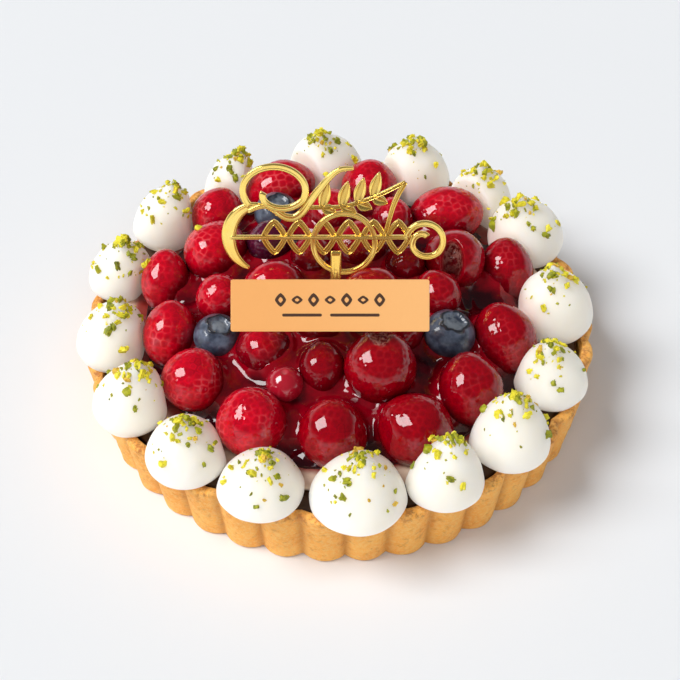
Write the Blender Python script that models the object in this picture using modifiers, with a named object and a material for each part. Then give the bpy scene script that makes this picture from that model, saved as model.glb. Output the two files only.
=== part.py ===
"""Fruit tart: fluted crust, filling, custard, jellied berries, piped cream dollops, a tag and a pick.

Metres, +Z up. The origin is the centre of the crust's flat underside, and the front of the tart
faces -Y. Places in the tables are in millimetres from that origin.
"""

import itertools
import math
import random
from dataclasses import dataclass, replace

import bmesh
import bpy
from mathutils import Euler, Matrix, Vector
from mathutils.bvhtree import BVHTree

MM = 0.001
GAP = 0.3 * MM
MERGE = 0.01 * MM

# Crust
RIM_RADIUS = 85.0 * MM
BASE_RADIUS = 82.3 * MM
RIM_HEIGHT = 24.0 * MM
RIM_ROUNDING = 1.2 * MM
WALL = 3.8 * MM
FLOOR = 3.0 * MM
FLUTES = 39
COLUMNS_PER_FLUTE = 4
FLUTE_DEPTH = 2.8 * MM
FLUTE_TURN = math.radians(-88.8)
INNER_FLUTING = 0.45

# Layers inside the crust
FILLING_TOP = 22.0 * MM
CUSTARD_TOP = RIM_HEIGHT
CUSTARD_RADIUS = 72.5 * MM
JELLY_RADIUS = 60.0 * MM
JELLY_SKIRT_RADIUS = 65.0 * MM
JELLY_BOTTOM = 19.5 * MM
JELLY_EDGE_TOP = 24.0 * MM
JELLY_DOME = 11.0 * MM
JELLY_RINGS = 4
LAYER_SEGMENTS = 36

# Cream dollops: x, y, widest radius, height of the tip, sideways lean of the tip, height of the
# widest ring above the foot, and how drawn out the tip is
DOLLOPS = (
    (5.5, -76.0, 14.8, 43.5, 2.0, 0.5, 0.29),
    (31.5, -70.0, 12.2, 45.0, 2.0, 1.5, 0.27),
    (52.5, -54.5, 12.9, 46.5, 0.0, 1.0, 0.24),
    (67.5, -31.0, 11.8, 44.0, -2.0, 3.0, 0.21),
    (71.5, -1.0, 12.9, 49.0, -2.0, 4.0, 0.18),
    (65.5, 36.0, 13.3, 46.5, -3.0, 4.0, 0.18),
    (50.5, 54.5, 11.6, 46.0, 0.0, 4.0, 0.18),
    (27.5, 68.5, 12.7, 47.0, -1.0, 4.0, 0.18),
    (-5.0, 72.5, 13.9, 46.5, -2.0, 4.0, 0.18),
    (-38.0, 61.5, 11.2, 47.5, 3.0, 4.0, 0.21),
    (-61.5, 43.0, 11.8, 47.5, 4.0, 4.0, 0.21),
    (-74.5, 17.5, 11.4, 44.5, 2.5, 2.5, 0.21),
    (-74.0, -14.5, 12.0, 47.0, 4.0, 4.0, 0.21),
    (-65.5, -41.5, 12.0, 46.0, 3.5, 4.0, 0.21),
    (-46.5, -61.0, 12.9, 42.5, -1.0, 2.5, 0.24),
    (-23.5, -73.0, 13.3, 40.0, 1.5, 2.0, 0.24),
)
DOLLOP_FOOT = RIM_HEIGHT + GAP
DOLLOP_SEGMENTS = 12
DOLLOP_FOOT_SHARE = 0.93
DOLLOP_LEVELS = (1.0, 0.87, 0.68, 0.46, 0.22, 0.0)
CRUMBS_PER_DOLLOP = 3
CRUMB_SIZE = (2.0 * MM, 3.4 * MM)
CRUMB_SUNK = 0.2
CRUMB_CLEARANCE = 1.1
CRUMB_SPACING = 1.6
CRUMB_TRIES = 40
CRUMB_SEED = 7

# Raspberries: x, y, z, width, length, tilt of the tip from upright, heading of the tilt, hollow
RASPBERRIES = (
    (-55, -15, 32, 17, 21, 40, 80, 0),
    (-46, -35, 32, 19, 20, 30, 60, 0),
    (-26, -51, 32, 21, 22, 15, 90, 0),
    (-2, -57, 32, 20, 22, 20, 90, 0),
    (22, -53, 32, 22, 23, 60, 160, 0),
    (41, -39, 32, 20, 23, 35, 110, 0),
    (52, -17, 32, 20, 23, 40, 120, 0),
    (55, 16, 31, 18, 22, 40, 90, 0),
    (36, 42, 32, 21, 26, 80, 10, 0),
    (11, 59, 31, 20, 21, 20, 90, 0),
    (-21, 59, 31, 19, 25, 80, 20, 0),
    (-43, 44, 31, 18, 20, 40, 60, 0),
    (-42, 20, 35, 21, 22, 45, 50, 0),
    (-58, 11, 31, 16, 21, 40, 90, 0),
    (-24, -25, 34, 17, 18, 70, 10, 0),
    (-4, -35, 36, 14, 17, 40, 95, 0),
    (11, -36, 37, 22, 23, 150, -90, 2.5),
    (39, 14, 37, 20, 21, 130, 80, 4),
    (20, 37, 35, 14, 16, 50, 90, 0),
    (-38, -3, 37, 15, 16, 30, 0, 0),
    (-23, 1, 38, 16, 20, 80, 10, 0),
    (11, -3, 39, 16, 20, 80, 170, 0),
    (23, 11, 38, 13, 14, 20, 0, 0),
    (7, 19, 39, 17, 20, 80, 30, 0),
    (32, -3, 38, 15, 16, 40, 120, 0),
    (-6, -16, 38, 15, 17, 60, 0, 0),
    (20, -20, 38, 14, 15, 60, 90, 0),
    (-9, 14, 38, 14, 16, 30, 90, 0),
    (-3, 39, 36, 18, 20, 60, 150, 0),
)
# A darker purple berry under the glaze, in the same form
DARK_BERRY = (-24, 22, 38, 15, 15, 20, 90, 0)
# Blueberries: x, y, z, width, length, tilt of the crown from upright, heading of the tilt
BLUEBERRIES = (
    (-39, -19, 35, 14.5, 12.5, 25, -80),
    (36, -19, 36, 16, 13.5, 20, -60),
    (-22, 42, 34, 15, 13, 30, -90),
)
REDCURRANT = (-16, -40, 35, 11, 10.5, 0, 0)
BERRY_SEGMENTS = 10
BERRY_RINGS = 6
CURRANT_SEGMENTS = 10
CURRANT_RINGS = 6
TIP_TAPER = 0.16
CROWN_DEPTH = 0.22
SETTLE_ROUNDS = 250
SETTLE_HOME_PULL = 0.04

# Tag that leans back on the berries
TAG_WIDTH = 60.2 * MM
TAG_HEIGHT = 15.8 * MM
TAG_THICKNESS = 1.0 * MM
TAG_CORNER = 0.7 * MM
TAG_CENTRE = (-2.8, -19.4, 49.0)
TAG_RECLINE = math.radians(44.0)

# Pick: its strokes lie in its own plane, measured along and up from where its stem meets the jelly
PICK_FOOT = (-1.5, 0.0, 42.0)
PICK_RECLINE = math.radians(23.0)
PICK_FLATTEN = 0.8
STROKE_LIFTS = (0.0, 0.11 * MM, -0.13 * MM, 0.23 * MM, -0.07 * MM, 0.17 * MM, -0.19 * MM)
STEM_WIDTH = 3.6 * MM
STEM_THICKNESS = 1.7 * MM
STEM_OFFSET = 0.4 * MM
STEM_TOP = 10.0 * MM
STEM_BURIED = 21.5 * MM
STEM_KEEP_CLEAR = 2.0 * MM
# Arcs and spirals: centre, radii across and up, start and end angle in degrees
CRESCENT = ((-24.5, 14.5), (9.7, 11.0), 84, 250)
LOOP = ((-19.3, 30.2), (10.0, 8.0), 222, -170)
CURL = ((29.0, 13.3), (6.0, 6.0), 172, -300)
RING_CENTRE = (3.0, 12.7)
RING_RADIUS = 10.0
RAIL_HEIGHT = 14.7
RAIL_ENDS = (-34.0, 24.0)
LOZENGE_START = -19.5
LOZENGE_PITCH = 8.0
LOZENGE_COUNT = 6
LOZENGE_HALF = (3.5, 5.2)
# Flowing strokes: the points that they pass through
RISE_KNOTS = (
    (-28.0, 23.4), (-22.0, 25.2), (-15.5, 21.4), (-11.0, 22.5), (-5.5, 30.0), (0.5, 36.6), (6.0, 37.8),
)
SPRIG_KNOTS = ((-9.2, 24.8), (2.0, 25.0), (12.0, 28.0), (22.5, 33.2))
TAIL_KNOTS = ((22.5, 33.2), (19.0, 26.0), (16.0, 14.7))
LEAF_PAIRS = 4
LEAF_HALF_WIDTH = 1.8
# A pair's leaves: length and slant in degrees of the upper and of the lower one
LEAF_FORMS = ((8.75, 75), (5.25, -20))


@dataclass
class Berry:
    """An ellipsoid of revolution that a berry is shaped inside."""
    name: str
    centre: Vector
    half_width: float
    half_length: float
    axis: Vector
    hollow: float = 0.0


def clear_scene():
    for obj in list(bpy.data.objects):
        bpy.data.objects.remove(obj, do_unlink=True)


def new_collection(name):
    collection = bpy.data.collections.new(name)
    bpy.context.scene.collection.children.link(collection)
    return collection


def new_material(name, colour, roughness, metallic=0.0):
    material = bpy.data.materials.new(name)
    material.use_nodes = True
    shader = material.node_tree.nodes["Principled BSDF"]
    shader.inputs["Base Color"].default_value = (*colour, 1.0)
    shader.inputs["Roughness"].default_value = roughness
    shader.inputs["Metallic"].default_value = metallic
    material.diffuse_color = (*colour, 1.0)
    return material


def new_object(name, data, collection, material=None):
    obj = bpy.data.objects.new(name, data)
    collection.objects.link(obj)
    if material is not None:
        data.materials.append(material)
    return obj


def smooth(obj, crease_degrees=50.0):
    obj.data.shade_smooth()
    obj.data.set_sharp_from_angle(angle=math.radians(crease_degrees))


def bake_modifiers(obj):
    """Replace an object's mesh by its evaluated one and drop the modifiers."""
    graph = bpy.context.evaluated_depsgraph_get()
    mesh = bpy.data.meshes.new_from_object(obj.evaluated_get(graph))
    obj.modifiers.clear()
    obj.data = mesh
    mesh.name = obj.name


def mesh_from(bm, name):
    mesh = bpy.data.meshes.new(name)
    bm.to_mesh(mesh)
    bm.free()
    return mesh


def turned(name, profile, segments, collection, material):
    """Turn a profile of (radius, height) pairs, listed from the top down its outer side, about Z."""
    mesh = bpy.data.meshes.new(name)
    edges = [(i, i + 1) for i in range(len(profile) - 1)]
    mesh.from_pydata([(radius, 0.0, height) for radius, height in profile], edges, [])
    obj = new_object(name, mesh, collection, material)
    screw = obj.modifiers.new("Turn", "SCREW")
    screw.steps = segments
    screw.render_steps = segments
    screw.use_merge_vertices = True
    screw.merge_threshold = MERGE
    bake_modifiers(obj)
    return obj


def difference(obj, cutters):
    """Cut a collection of closed pieces out of an object."""
    cut = obj.modifiers.new("Pockets", "BOOLEAN")
    cut.operation = "DIFFERENCE"
    cut.operand_type = "COLLECTION"
    cut.collection = cutters
    bake_modifiers(obj)


def union_collection(obj, pieces):
    """Join a collection's pieces to an object in one union, then remove them."""
    join = obj.modifiers.new("Join", "BOOLEAN")
    join.operation = "UNION"
    join.operand_type = "COLLECTION"
    join.collection = pieces
    bake_modifiers(obj)
    for piece in list(pieces.objects):
        bpy.data.objects.remove(piece, do_unlink=True)
    bpy.data.collections.remove(pieces)


def crust_profile():
    """Points of the crust's section, each with its share of the fluting, from the inside out."""
    inner_top = RIM_RADIUS - WALL
    inner_base = BASE_RADIUS - WALL
    return (
        (0.0, FLOOR, 0.0),
        (inner_base, FLOOR, 0.0),
        (inner_top, RIM_HEIGHT, INNER_FLUTING),
        (RIM_RADIUS - RIM_ROUNDING, RIM_HEIGHT, 1.0),
        (RIM_RADIUS, RIM_HEIGHT - RIM_ROUNDING, 1.0),
        (BASE_RADIUS, 0.0, 1.0),
        (0.0, 0.0, 0.0),
    )


def flute_dent(angle):
    """How far, from 0 on a flute's crest to 1 in a valley, the wall is drawn in at an angle."""
    phase = (angle / math.tau * FLUTES) % 1.0
    return (2.0 * phase - 1.0) ** 2


def build_crust(parts, material):
    profile = crust_profile()
    outline = [(radius, height) for radius, height, _ in profile]
    crust = turned("crust", outline, FLUTES * COLUMNS_PER_FLUTE, parts, material)
    for vertex in crust.data.vertices:
        radius = math.hypot(vertex.co.x, vertex.co.y)
        if radius < MERGE:
            continue
        share = min(profile, key=lambda p: math.hypot(p[0] - radius, p[1] - vertex.co.z))[2]
        dent = share * FLUTE_DEPTH * flute_dent(math.atan2(vertex.co.y, vertex.co.x))
        vertex.co.x *= 1.0 - dent / radius
        vertex.co.y *= 1.0 - dent / radius
    crust.rotation_euler.z = FLUTE_TURN
    smooth(crust, 40.0)
    return crust


def crust_inner_radius(height):
    """Least radius of the crust's inner wall at a height above its floor."""
    share = (height - FLOOR) / (RIM_HEIGHT - FLOOR)
    flare = RIM_RADIUS - BASE_RADIUS - INNER_FLUTING * FLUTE_DEPTH
    return BASE_RADIUS - WALL + share * flare


def build_filling(parts, material):
    """Baked layer on the crust's floor, with a round recess that the jelly fills."""
    bottom = FLOOR + GAP
    recess = JELLY_SKIRT_RADIUS + GAP
    profile = (
        (0.0, JELLY_BOTTOM - GAP),
        (recess, JELLY_BOTTOM - GAP),
        (recess, FILLING_TOP),
        (crust_inner_radius(FILLING_TOP) - GAP, FILLING_TOP),
        (crust_inner_radius(bottom) - GAP, bottom),
        (0.0, bottom),
    )
    return turned("filling", profile, LAYER_SEGMENTS, parts, material)


def build_custard(parts, material):
    """Pale ring of custard between the jelly and the crust, under the cream."""
    bottom = FILLING_TOP + GAP
    inner = JELLY_SKIRT_RADIUS + GAP
    profile = (
        (inner, bottom),
        (inner, CUSTARD_TOP),
        (CUSTARD_RADIUS, CUSTARD_TOP),
        (CUSTARD_RADIUS, bottom),
        (inner, bottom),
    )
    return turned("custard", profile, LAYER_SEGMENTS, parts, material)


def jelly_height(radius):
    """The jelly's domed level at a distance from the centre."""
    return JELLY_EDGE_TOP + JELLY_DOME * (1.0 - (radius / JELLY_RADIUS) ** 2) ** 0.8


def build_jelly(parts, material):
    """Domed bed of jelly that the berries sit in, with a flat skirt that runs under the cream."""
    radii = [JELLY_RADIUS * ring / JELLY_RINGS for ring in range(JELLY_RINGS + 1)]
    profile = [(radius, jelly_height(radius)) for radius in radii]
    skirt = JELLY_SKIRT_RADIUS
    profile += [(skirt, JELLY_EDGE_TOP), (skirt, JELLY_BOTTOM), (0.0, JELLY_BOTTOM)]
    return turned("jelly", profile, LAYER_SEGMENTS, parts, material)


def heading(tilt_degrees, heading_degrees):
    """Unit vector tilted from upright toward a compass heading in the XY plane."""
    tilt = math.radians(tilt_degrees)
    turn = math.radians(heading_degrees)
    return Vector((math.sin(tilt) * math.cos(turn), math.sin(tilt) * math.sin(turn), math.cos(tilt)))


def make_berry(name, row):
    x, y, z, width, length, tilt, turn = row[:7]
    hollow = row[7] if len(row) > 7 else 0.0
    centre = Vector((x, y, z)) * MM
    return Berry(name, centre, width / 2 * MM, length / 2 * MM, heading(tilt, turn), hollow * MM)


def half_extent(berry, direction):
    """Distance from a berry's centre to its tangent plane across a unit direction."""
    along = berry.axis.dot(direction)
    return math.sqrt((berry.half_length * along) ** 2 + berry.half_width ** 2 * (1.0 - along * along))


def stem_point(centre):
    """The point of the pick's stem line that is nearest to a centre."""
    foot = Vector(PICK_FOOT) * MM + Vector((STEM_OFFSET, 0.0, 0.0))
    up = Vector((0.0, math.sin(PICK_RECLINE), math.cos(PICK_RECLINE)))
    along = min(max((centre - foot).dot(up), -STEM_BURIED), STEM_TOP)
    return foot + along * up


def settle(berries):
    """Push overlapping berries apart, and off the pick's stem, until a gap is left between them."""
    homes = [berry.centre.copy() for berry in berries]
    for turn in range(SETTLE_ROUNDS):
        if turn < SETTLE_ROUNDS // 2:
            for berry, home in zip(berries, homes):
                berry.centre += (home - berry.centre) * SETTLE_HOME_PULL
        for berry in berries:
            away = berry.centre - stem_point(berry.centre)
            need = half_extent(berry, away.normalized()) + STEM_KEEP_CLEAR
            if away.length < need:
                berry.centre += away.normalized() * (need - away.length)
        for first, second in itertools.combinations(berries, 2):
            apart = second.centre - first.centre
            direction = apart.normalized()
            need = half_extent(first, direction) + half_extent(second, direction) + 1.5 * GAP
            if apart.length < need:
                push = direction * (need - apart.length) / 2
                first.centre -= push
                second.centre += push


def place(obj, berry):
    obj.location = berry.centre
    obj.rotation_euler = berry.axis.to_track_quat("Z", "Y").to_euler()


def berry_mesh(berry, segments, rings, grow=0.0):
    """A sphere stretched to a berry's size, its tip at +Z and its hollow, if any, at -Z."""
    bm = bmesh.new()
    bmesh.ops.create_uvsphere(bm, u_segments=segments, v_segments=rings, radius=1.0)
    for vertex in bm.verts:
        taper = 1.0 - TIP_TAPER * max(vertex.co.z, 0.0) ** 2
        vertex.co.x *= taper * (berry.half_width + grow)
        vertex.co.y *= taper * (berry.half_width + grow)
        vertex.co.z *= berry.half_length + grow
    if berry.hollow:
        pole = min(bm.verts, key=lambda vertex: vertex.co.z)
        pole.co.z += berry.hollow
    return mesh_from(bm, berry.name)


def blueberry_mesh(berry, segments, rings, grow=0.0):
    """A flattened sphere with a shallow crown at +Z."""
    bm = bmesh.new()
    bmesh.ops.create_uvsphere(bm, u_segments=segments, v_segments=rings, radius=1.0)
    for vertex in bm.verts:
        vertex.co.x *= berry.half_width + grow
        vertex.co.y *= berry.half_width + grow
        vertex.co.z *= berry.half_length + grow
    if not grow:
        pole = max(bm.verts, key=lambda vertex: vertex.co.z)
        pole.co.z -= CROWN_DEPTH * berry.half_length
    return mesh_from(bm, berry.name)


def build_berries(berries, shape, segments, rings, parts, pockets, material):
    """Make each berry, and a pocket cutter that is larger than it by the gap all round."""
    for berry in berries:
        obj = new_object(berry.name, shape(berry, segments, rings), parts, material)
        place(obj, berry)
        smooth(obj, 60.0)
        solid = replace(berry, name=berry.name + "_pocket", hollow=0.0)
        pocket = new_object(solid.name, shape(solid, segments, rings, GAP), pockets)
        place(pocket, solid)
        pocket.hide_render = True
        pocket.display_type = "WIRE"


def dollop_limits(index, berries):
    """Upright planes, as (point, outward normal), that a dollop's cream stays behind."""
    x, y, radius = (value * MM for value in DOLLOPS[index][:3])
    centre = Vector((x, y, 0.0))
    inward = -centre.normalized()
    limits = [(-inward * (JELLY_RADIUS + GAP), inward)]
    for other, row in enumerate(DOLLOPS):
        if other == index:
            continue
        apart = Vector((row[0], row[1], 0.0)) * MM - centre
        distance = apart.length
        share = (distance ** 2 + radius ** 2 - (row[2] * MM) ** 2) / (2 * distance) - GAP / 2
        if share < radius * 1.2:
            limits.append((centre + apart.normalized() * share, apart.normalized()))
    for berry in berries:
        inward = Vector((berry.centre.x, berry.centre.y, 0.0)) - centre
        direction = inward.normalized()
        share = inward.length - half_extent(berry, direction) - GAP
        if share < radius * 1.2:
            limits.append((centre + direction * share, direction))
    return limits


def dollop_share(level, drawn):
    """Share of a dollop's widest radius at a level from its widest ring, 0, to its tip, 1."""
    return math.sqrt(1.0 - level * level) * (1.0 - level) ** drawn


def build_dollop(index, limits, parts, material):
    """A dome of piped cream with a soft leaning tip, pressed flat where it meets its neighbours."""
    x, y, radius, top, lean, belly = (value * MM for value in DOLLOPS[index][:6])
    drawn = DOLLOPS[index][6]
    height = top - DOLLOP_FOOT
    profile = [(radius * dollop_share(level, drawn), belly + level * (height - belly))
               for level in DOLLOP_LEVELS]
    profile += [(radius * DOLLOP_FOOT_SHARE, 0.0), (0.0, 0.0)]
    dollop = turned(f"dollop_{index + 1:02d}", profile, DOLLOP_SEGMENTS, parts, material)
    dollop.location = (x, y, DOLLOP_FOOT)
    for vertex in dollop.data.vertices:
        vertex.co.x += lean * (vertex.co.z / height) ** 2
        for point, normal in limits:
            beyond = (vertex.co + dollop.location - point).dot(normal)
            if beyond > 0.0:
                vertex.co -= normal * beyond
    smooth(dollop, 60.0)
    return dollop


def crumb_mesh(size, rng):
    """A nut crumb: a small box with uneven corners."""
    bm = bmesh.new()
    bmesh.ops.create_cube(bm, size=size)
    for vertex in bm.verts:
        vertex.co *= rng.uniform(0.75, 1.05)
    bmesh.ops.scale(bm, vec=(1.0, rng.uniform(0.6, 0.9), rng.uniform(0.5, 0.7)), verts=bm.verts)
    return mesh_from(bm, "crumb")


def add_crumbs(dollop, limits, rng):
    """Fuse the largest nut crumbs to a dollop, largest first, clear of what it touches."""
    bm = bmesh.new()
    bm.from_mesh(dollop.data)
    tree = BVHTree.FromBMesh(bm)
    bm.free()
    height = max(vertex.co.z for vertex in dollop.data.vertices)
    crumbs = new_collection(dollop.name + "_crumbs")
    for number in range(CRUMBS_PER_DOLLOP):
        size = CRUMB_SIZE[1] + (CRUMB_SIZE[0] - CRUMB_SIZE[1]) * number / (CRUMBS_PER_DOLLOP - 1)
        for _ in range(CRUMB_TRIES):
            turn = rng.uniform(0.0, math.tau)
            rise = rng.uniform(-0.1, 1.4)
            aim = Vector((math.cos(turn), math.sin(turn), rise)).normalized()
            start = Vector((0.0, 0.0, height * 0.4))
            point, normal, _, _ = tree.ray_cast(start, aim)
            spot = point - normal * size * CRUMB_SUNK
            reach = size * CRUMB_CLEARANCE
            blocked = any((spot + dollop.location - at).dot(out) > -reach for at, out in limits)
            crowded = any((spot - (piece.location - dollop.location)).length < CRUMB_SPACING * size
                          for piece in crumbs.objects)
            if not blocked and not crowded:
                crumb = new_object("crumb", crumb_mesh(size, rng), crumbs)
                crumb.location = spot + dollop.location
                crumb.rotation_euler = Euler([rng.uniform(0.0, math.tau) for _ in range(3)])
                break
    bpy.context.view_layer.update()
    union_collection(dollop, crumbs)


def build_tag(parts, material):
    """A thin card plate with slightly rounded corners, leaning back to face the front."""
    bm = bmesh.new()
    bmesh.ops.create_cube(bm, size=1.0)
    bmesh.ops.scale(bm, vec=(TAG_WIDTH, TAG_HEIGHT, TAG_THICKNESS), verts=bm.verts)
    corners = [edge for edge in bm.edges if abs(edge.verts[0].co.z - edge.verts[1].co.z) > GAP]
    bmesh.ops.bevel(bm, geom=corners, offset=TAG_CORNER, segments=2, affect="EDGES", profile=0.5)
    tag = new_object("tag", mesh_from(bm, "tag"), parts, material)
    tag.location = Vector(TAG_CENTRE) * MM
    tag.rotation_euler = (TAG_RECLINE, 0.0, 0.0)
    return tag


def rest_tag(tag, berries):
    """Move the tag along its own normal until it lies on the highest berry behind it."""
    turn = Euler(tag.rotation_euler).to_matrix()
    right, up, out = turn.col[0], turn.col[1], turn.col[2]
    reaches = []
    for berry in berries:
        offset = berry.centre - tag.location
        beside = abs(offset.dot(right)) > TAG_WIDTH / 2 + half_extent(berry, right)
        beyond = abs(offset.dot(up)) > TAG_HEIGHT / 2 + half_extent(berry, up)
        if not beside and not beyond:
            reaches.append(offset.dot(out) + half_extent(berry, out))
    tag.location += out * (max(reaches) + TAG_THICKNESS / 2 + GAP)


def stroke_mesh(curve):
    """Mesh of a stroke curve, its end caps welded and its depth flattened."""
    helper = bpy.data.objects.new("stroke", curve)
    bpy.context.scene.collection.objects.link(helper)
    graph = bpy.context.evaluated_depsgraph_get()
    mesh = bpy.data.meshes.new_from_object(helper.evaluated_get(graph))
    bpy.data.objects.remove(helper, do_unlink=True)
    bm = bmesh.new()
    bm.from_mesh(mesh)
    bmesh.ops.remove_doubles(bm, verts=bm.verts, dist=MERGE)
    bmesh.ops.scale(bm, vec=(1.0, 1.0, PICK_FLATTEN), verts=bm.verts)
    bmesh.ops.recalc_face_normals(bm, faces=bm.faces)
    bm.to_mesh(mesh)
    bm.free()
    return mesh


def stroke(points, widths, strokes, closed=False, depth=1.0):
    """A tapered four-sided stroke through points in the pick's plane; widths are half-widths.

    Each stroke is lifted a little off the plane, so that no two crossing edges meet exactly.
    """
    curve = bpy.data.curves.new("stroke", "CURVE")
    curve.dimensions = "3D"
    curve.bevel_depth = MM
    curve.bevel_resolution = 0
    curve.use_fill_caps = True
    spline = curve.splines.new("POLY")
    spline.points.add(len(points) - 1)
    for spot, (along, up), width in zip(spline.points, points, widths):
        spot.co = (along * MM, up * MM, 0.0, 1.0)
        spot.radius = width
    spline.use_cyclic_u = closed
    mesh = stroke_mesh(curve)
    mesh.transform(Matrix.Diagonal((1.0, 1.0, depth, 1.0)))
    lift = STROKE_LIFTS[len(strokes.objects) % len(STROKE_LIFTS)]
    mesh.transform(Matrix.Translation((0.0, 0.0, lift)))
    return new_object("stroke", mesh, strokes)


def arc(centre, radii, start, end, count):
    """Points on an elliptical arc between two angles in degrees, both ends included."""
    angles = [math.radians(start + (end - start) * i / (count - 1)) for i in range(count)]
    return [(centre[0] + radii[0] * math.cos(a), centre[1] + radii[1] * math.sin(a)) for a in angles]


def spiral(centre, radii, start, end, count, hold, inner):
    """An elliptical arc that keeps its size for a share of its run, then shrinks to an inner share."""
    points = []
    for i in range(count):
        share = i / (count - 1)
        shrink = 1.0 if share < hold else 1.0 - (1.0 - inner) * (share - hold) / (1.0 - hold)
        angle = math.radians(start + (end - start) * share)
        points.append((centre[0] + radii[0] * shrink * math.cos(angle),
                       centre[1] + radii[1] * shrink * math.sin(angle)))
    return points


def swelling(count, end, middle):
    """Half-widths that grow from the ends of a stroke to its middle as a sine."""
    return [end + (middle - end) * math.sin(math.pi * i / (count - 1)) for i in range(count)]


def bend(knots, steps):
    """Catmull-Rom curve through knots, with a number of steps between each pair."""
    padded = [Vector(knot) for knot in (knots[0], *knots, knots[-1])]
    points = []
    for before, start, end, after in zip(padded, padded[1:], padded[2:], padded[3:]):
        slope = end - before
        square = 2 * before - 5 * start + 4 * end - after
        cube = 3 * start - before - 3 * end + after
        for i in range(steps):
            t = i / steps
            points.append(start + 0.5 * (slope * t + square * t ** 2 + cube * t ** 3))
    return points + [padded[-1]]


def scroll_strokes(strokes):
    """The scrolls: a thick crescent, a loop that curls inward, a rising flourish and a curl."""
    crescent = arc(*CRESCENT, count=10)
    stroke(crescent, swelling(len(crescent), 0.6, 2.2), strokes, depth=0.5)
    loop = spiral(*LOOP, count=18, hold=0.62, inner=0.34)
    stroke(loop, [1.0] * len(loop), strokes, depth=0.85)
    rise = bend(RISE_KNOTS, 2)
    stroke(rise, swelling(len(rise), 0.6, 1.3), strokes, depth=0.75)
    curl = spiral(*CURL, count=15, hold=0.45, inner=0.3)
    stroke(curl, [0.95] * len(curl), strokes, depth=0.9)


def garland_strokes(strokes):
    """A ring, a rail and a row of open lozenges across it."""
    sides = 16
    ring = arc(RING_CENTRE, (RING_RADIUS, RING_RADIUS), 0, 360 - 360 / sides, sides)
    stroke(ring, [0.85] * sides, strokes, closed=True, depth=1.02)
    stroke([(RAIL_ENDS[0], RAIL_HEIGHT), (RAIL_ENDS[1], RAIL_HEIGHT)], [0.7, 0.7], strokes, depth=1.1)
    wide, tall = LOZENGE_HALF
    for number in range(LOZENGE_COUNT):
        along = LOZENGE_START + LOZENGE_PITCH * number
        corners = [(along + wide, RAIL_HEIGHT), (along, RAIL_HEIGHT + tall),
                   (along - wide, RAIL_HEIGHT), (along, RAIL_HEIGHT - tall)]
        stroke(corners, [0.95] * len(corners), strokes, closed=True, depth=0.8)


def sprig_strokes(strokes):
    """A leafy sprig rising to the right, with a tail that ties its end down to the rail."""
    stem = bend(SPRIG_KNOTS, 2)
    stroke(stem, [0.65] * len(stem), strokes, depth=0.85)
    stroke(bend(TAIL_KNOTS, 2), [0.8, 0.85, 0.8, 0.75, 0.6], strokes)
    fullness = [0.3, LEAF_HALF_WIDTH, LEAF_HALF_WIDTH * 0.8, 0.15]
    for number in range(LEAF_PAIRS):
        knot = stem[1 + number]
        for length, slant in LEAF_FORMS:
            turn = math.radians(slant)
            tip = Vector((math.cos(turn), math.sin(turn))) * length
            leaf = [knot + tip * share for share in (0.0, 0.4, 0.75, 1.0)]
            stroke(leaf, fullness, strokes, depth=0.6 + 0.04 * number)


def build_pick(parts, pockets, material):
    """A flat plastic pick: a stem pushed into the jelly, with scrollwork fused to its head."""
    bm = bmesh.new()
    bmesh.ops.create_cube(bm, size=1.0)
    bmesh.ops.scale(bm, vec=(STEM_WIDTH, STEM_TOP + STEM_BURIED, STEM_THICKNESS), verts=bm.verts)
    middle = (STEM_TOP - STEM_BURIED) / 2
    bmesh.ops.translate(bm, vec=(STEM_OFFSET, middle, 0.0), verts=bm.verts)
    pick = new_object("pick", mesh_from(bm, "pick"), parts, material)
    strokes = new_collection("strokes")
    scroll_strokes(strokes)
    garland_strokes(strokes)
    sprig_strokes(strokes)
    bpy.context.view_layer.update()
    union_collection(pick, strokes)
    pick.location = Vector(PICK_FOOT) * MM
    pick.rotation_euler = (math.pi / 2 - PICK_RECLINE, 0.0, 0.0)

    bm = bmesh.new()
    bmesh.ops.create_cube(bm, size=1.0)
    size = (STEM_WIDTH + 2 * GAP, STEM_TOP + STEM_BURIED + 2 * GAP, STEM_THICKNESS + 2 * GAP)
    bmesh.ops.scale(bm, vec=size, verts=bm.verts)
    bmesh.ops.translate(bm, vec=(STEM_OFFSET, middle, 0.0), verts=bm.verts)
    slot = new_object("stem_pocket", mesh_from(bm, "stem_pocket"), pockets)
    slot.location = pick.location
    slot.rotation_euler = pick.rotation_euler
    slot.hide_render = True
    slot.display_type = "WIRE"
    return pick


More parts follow.
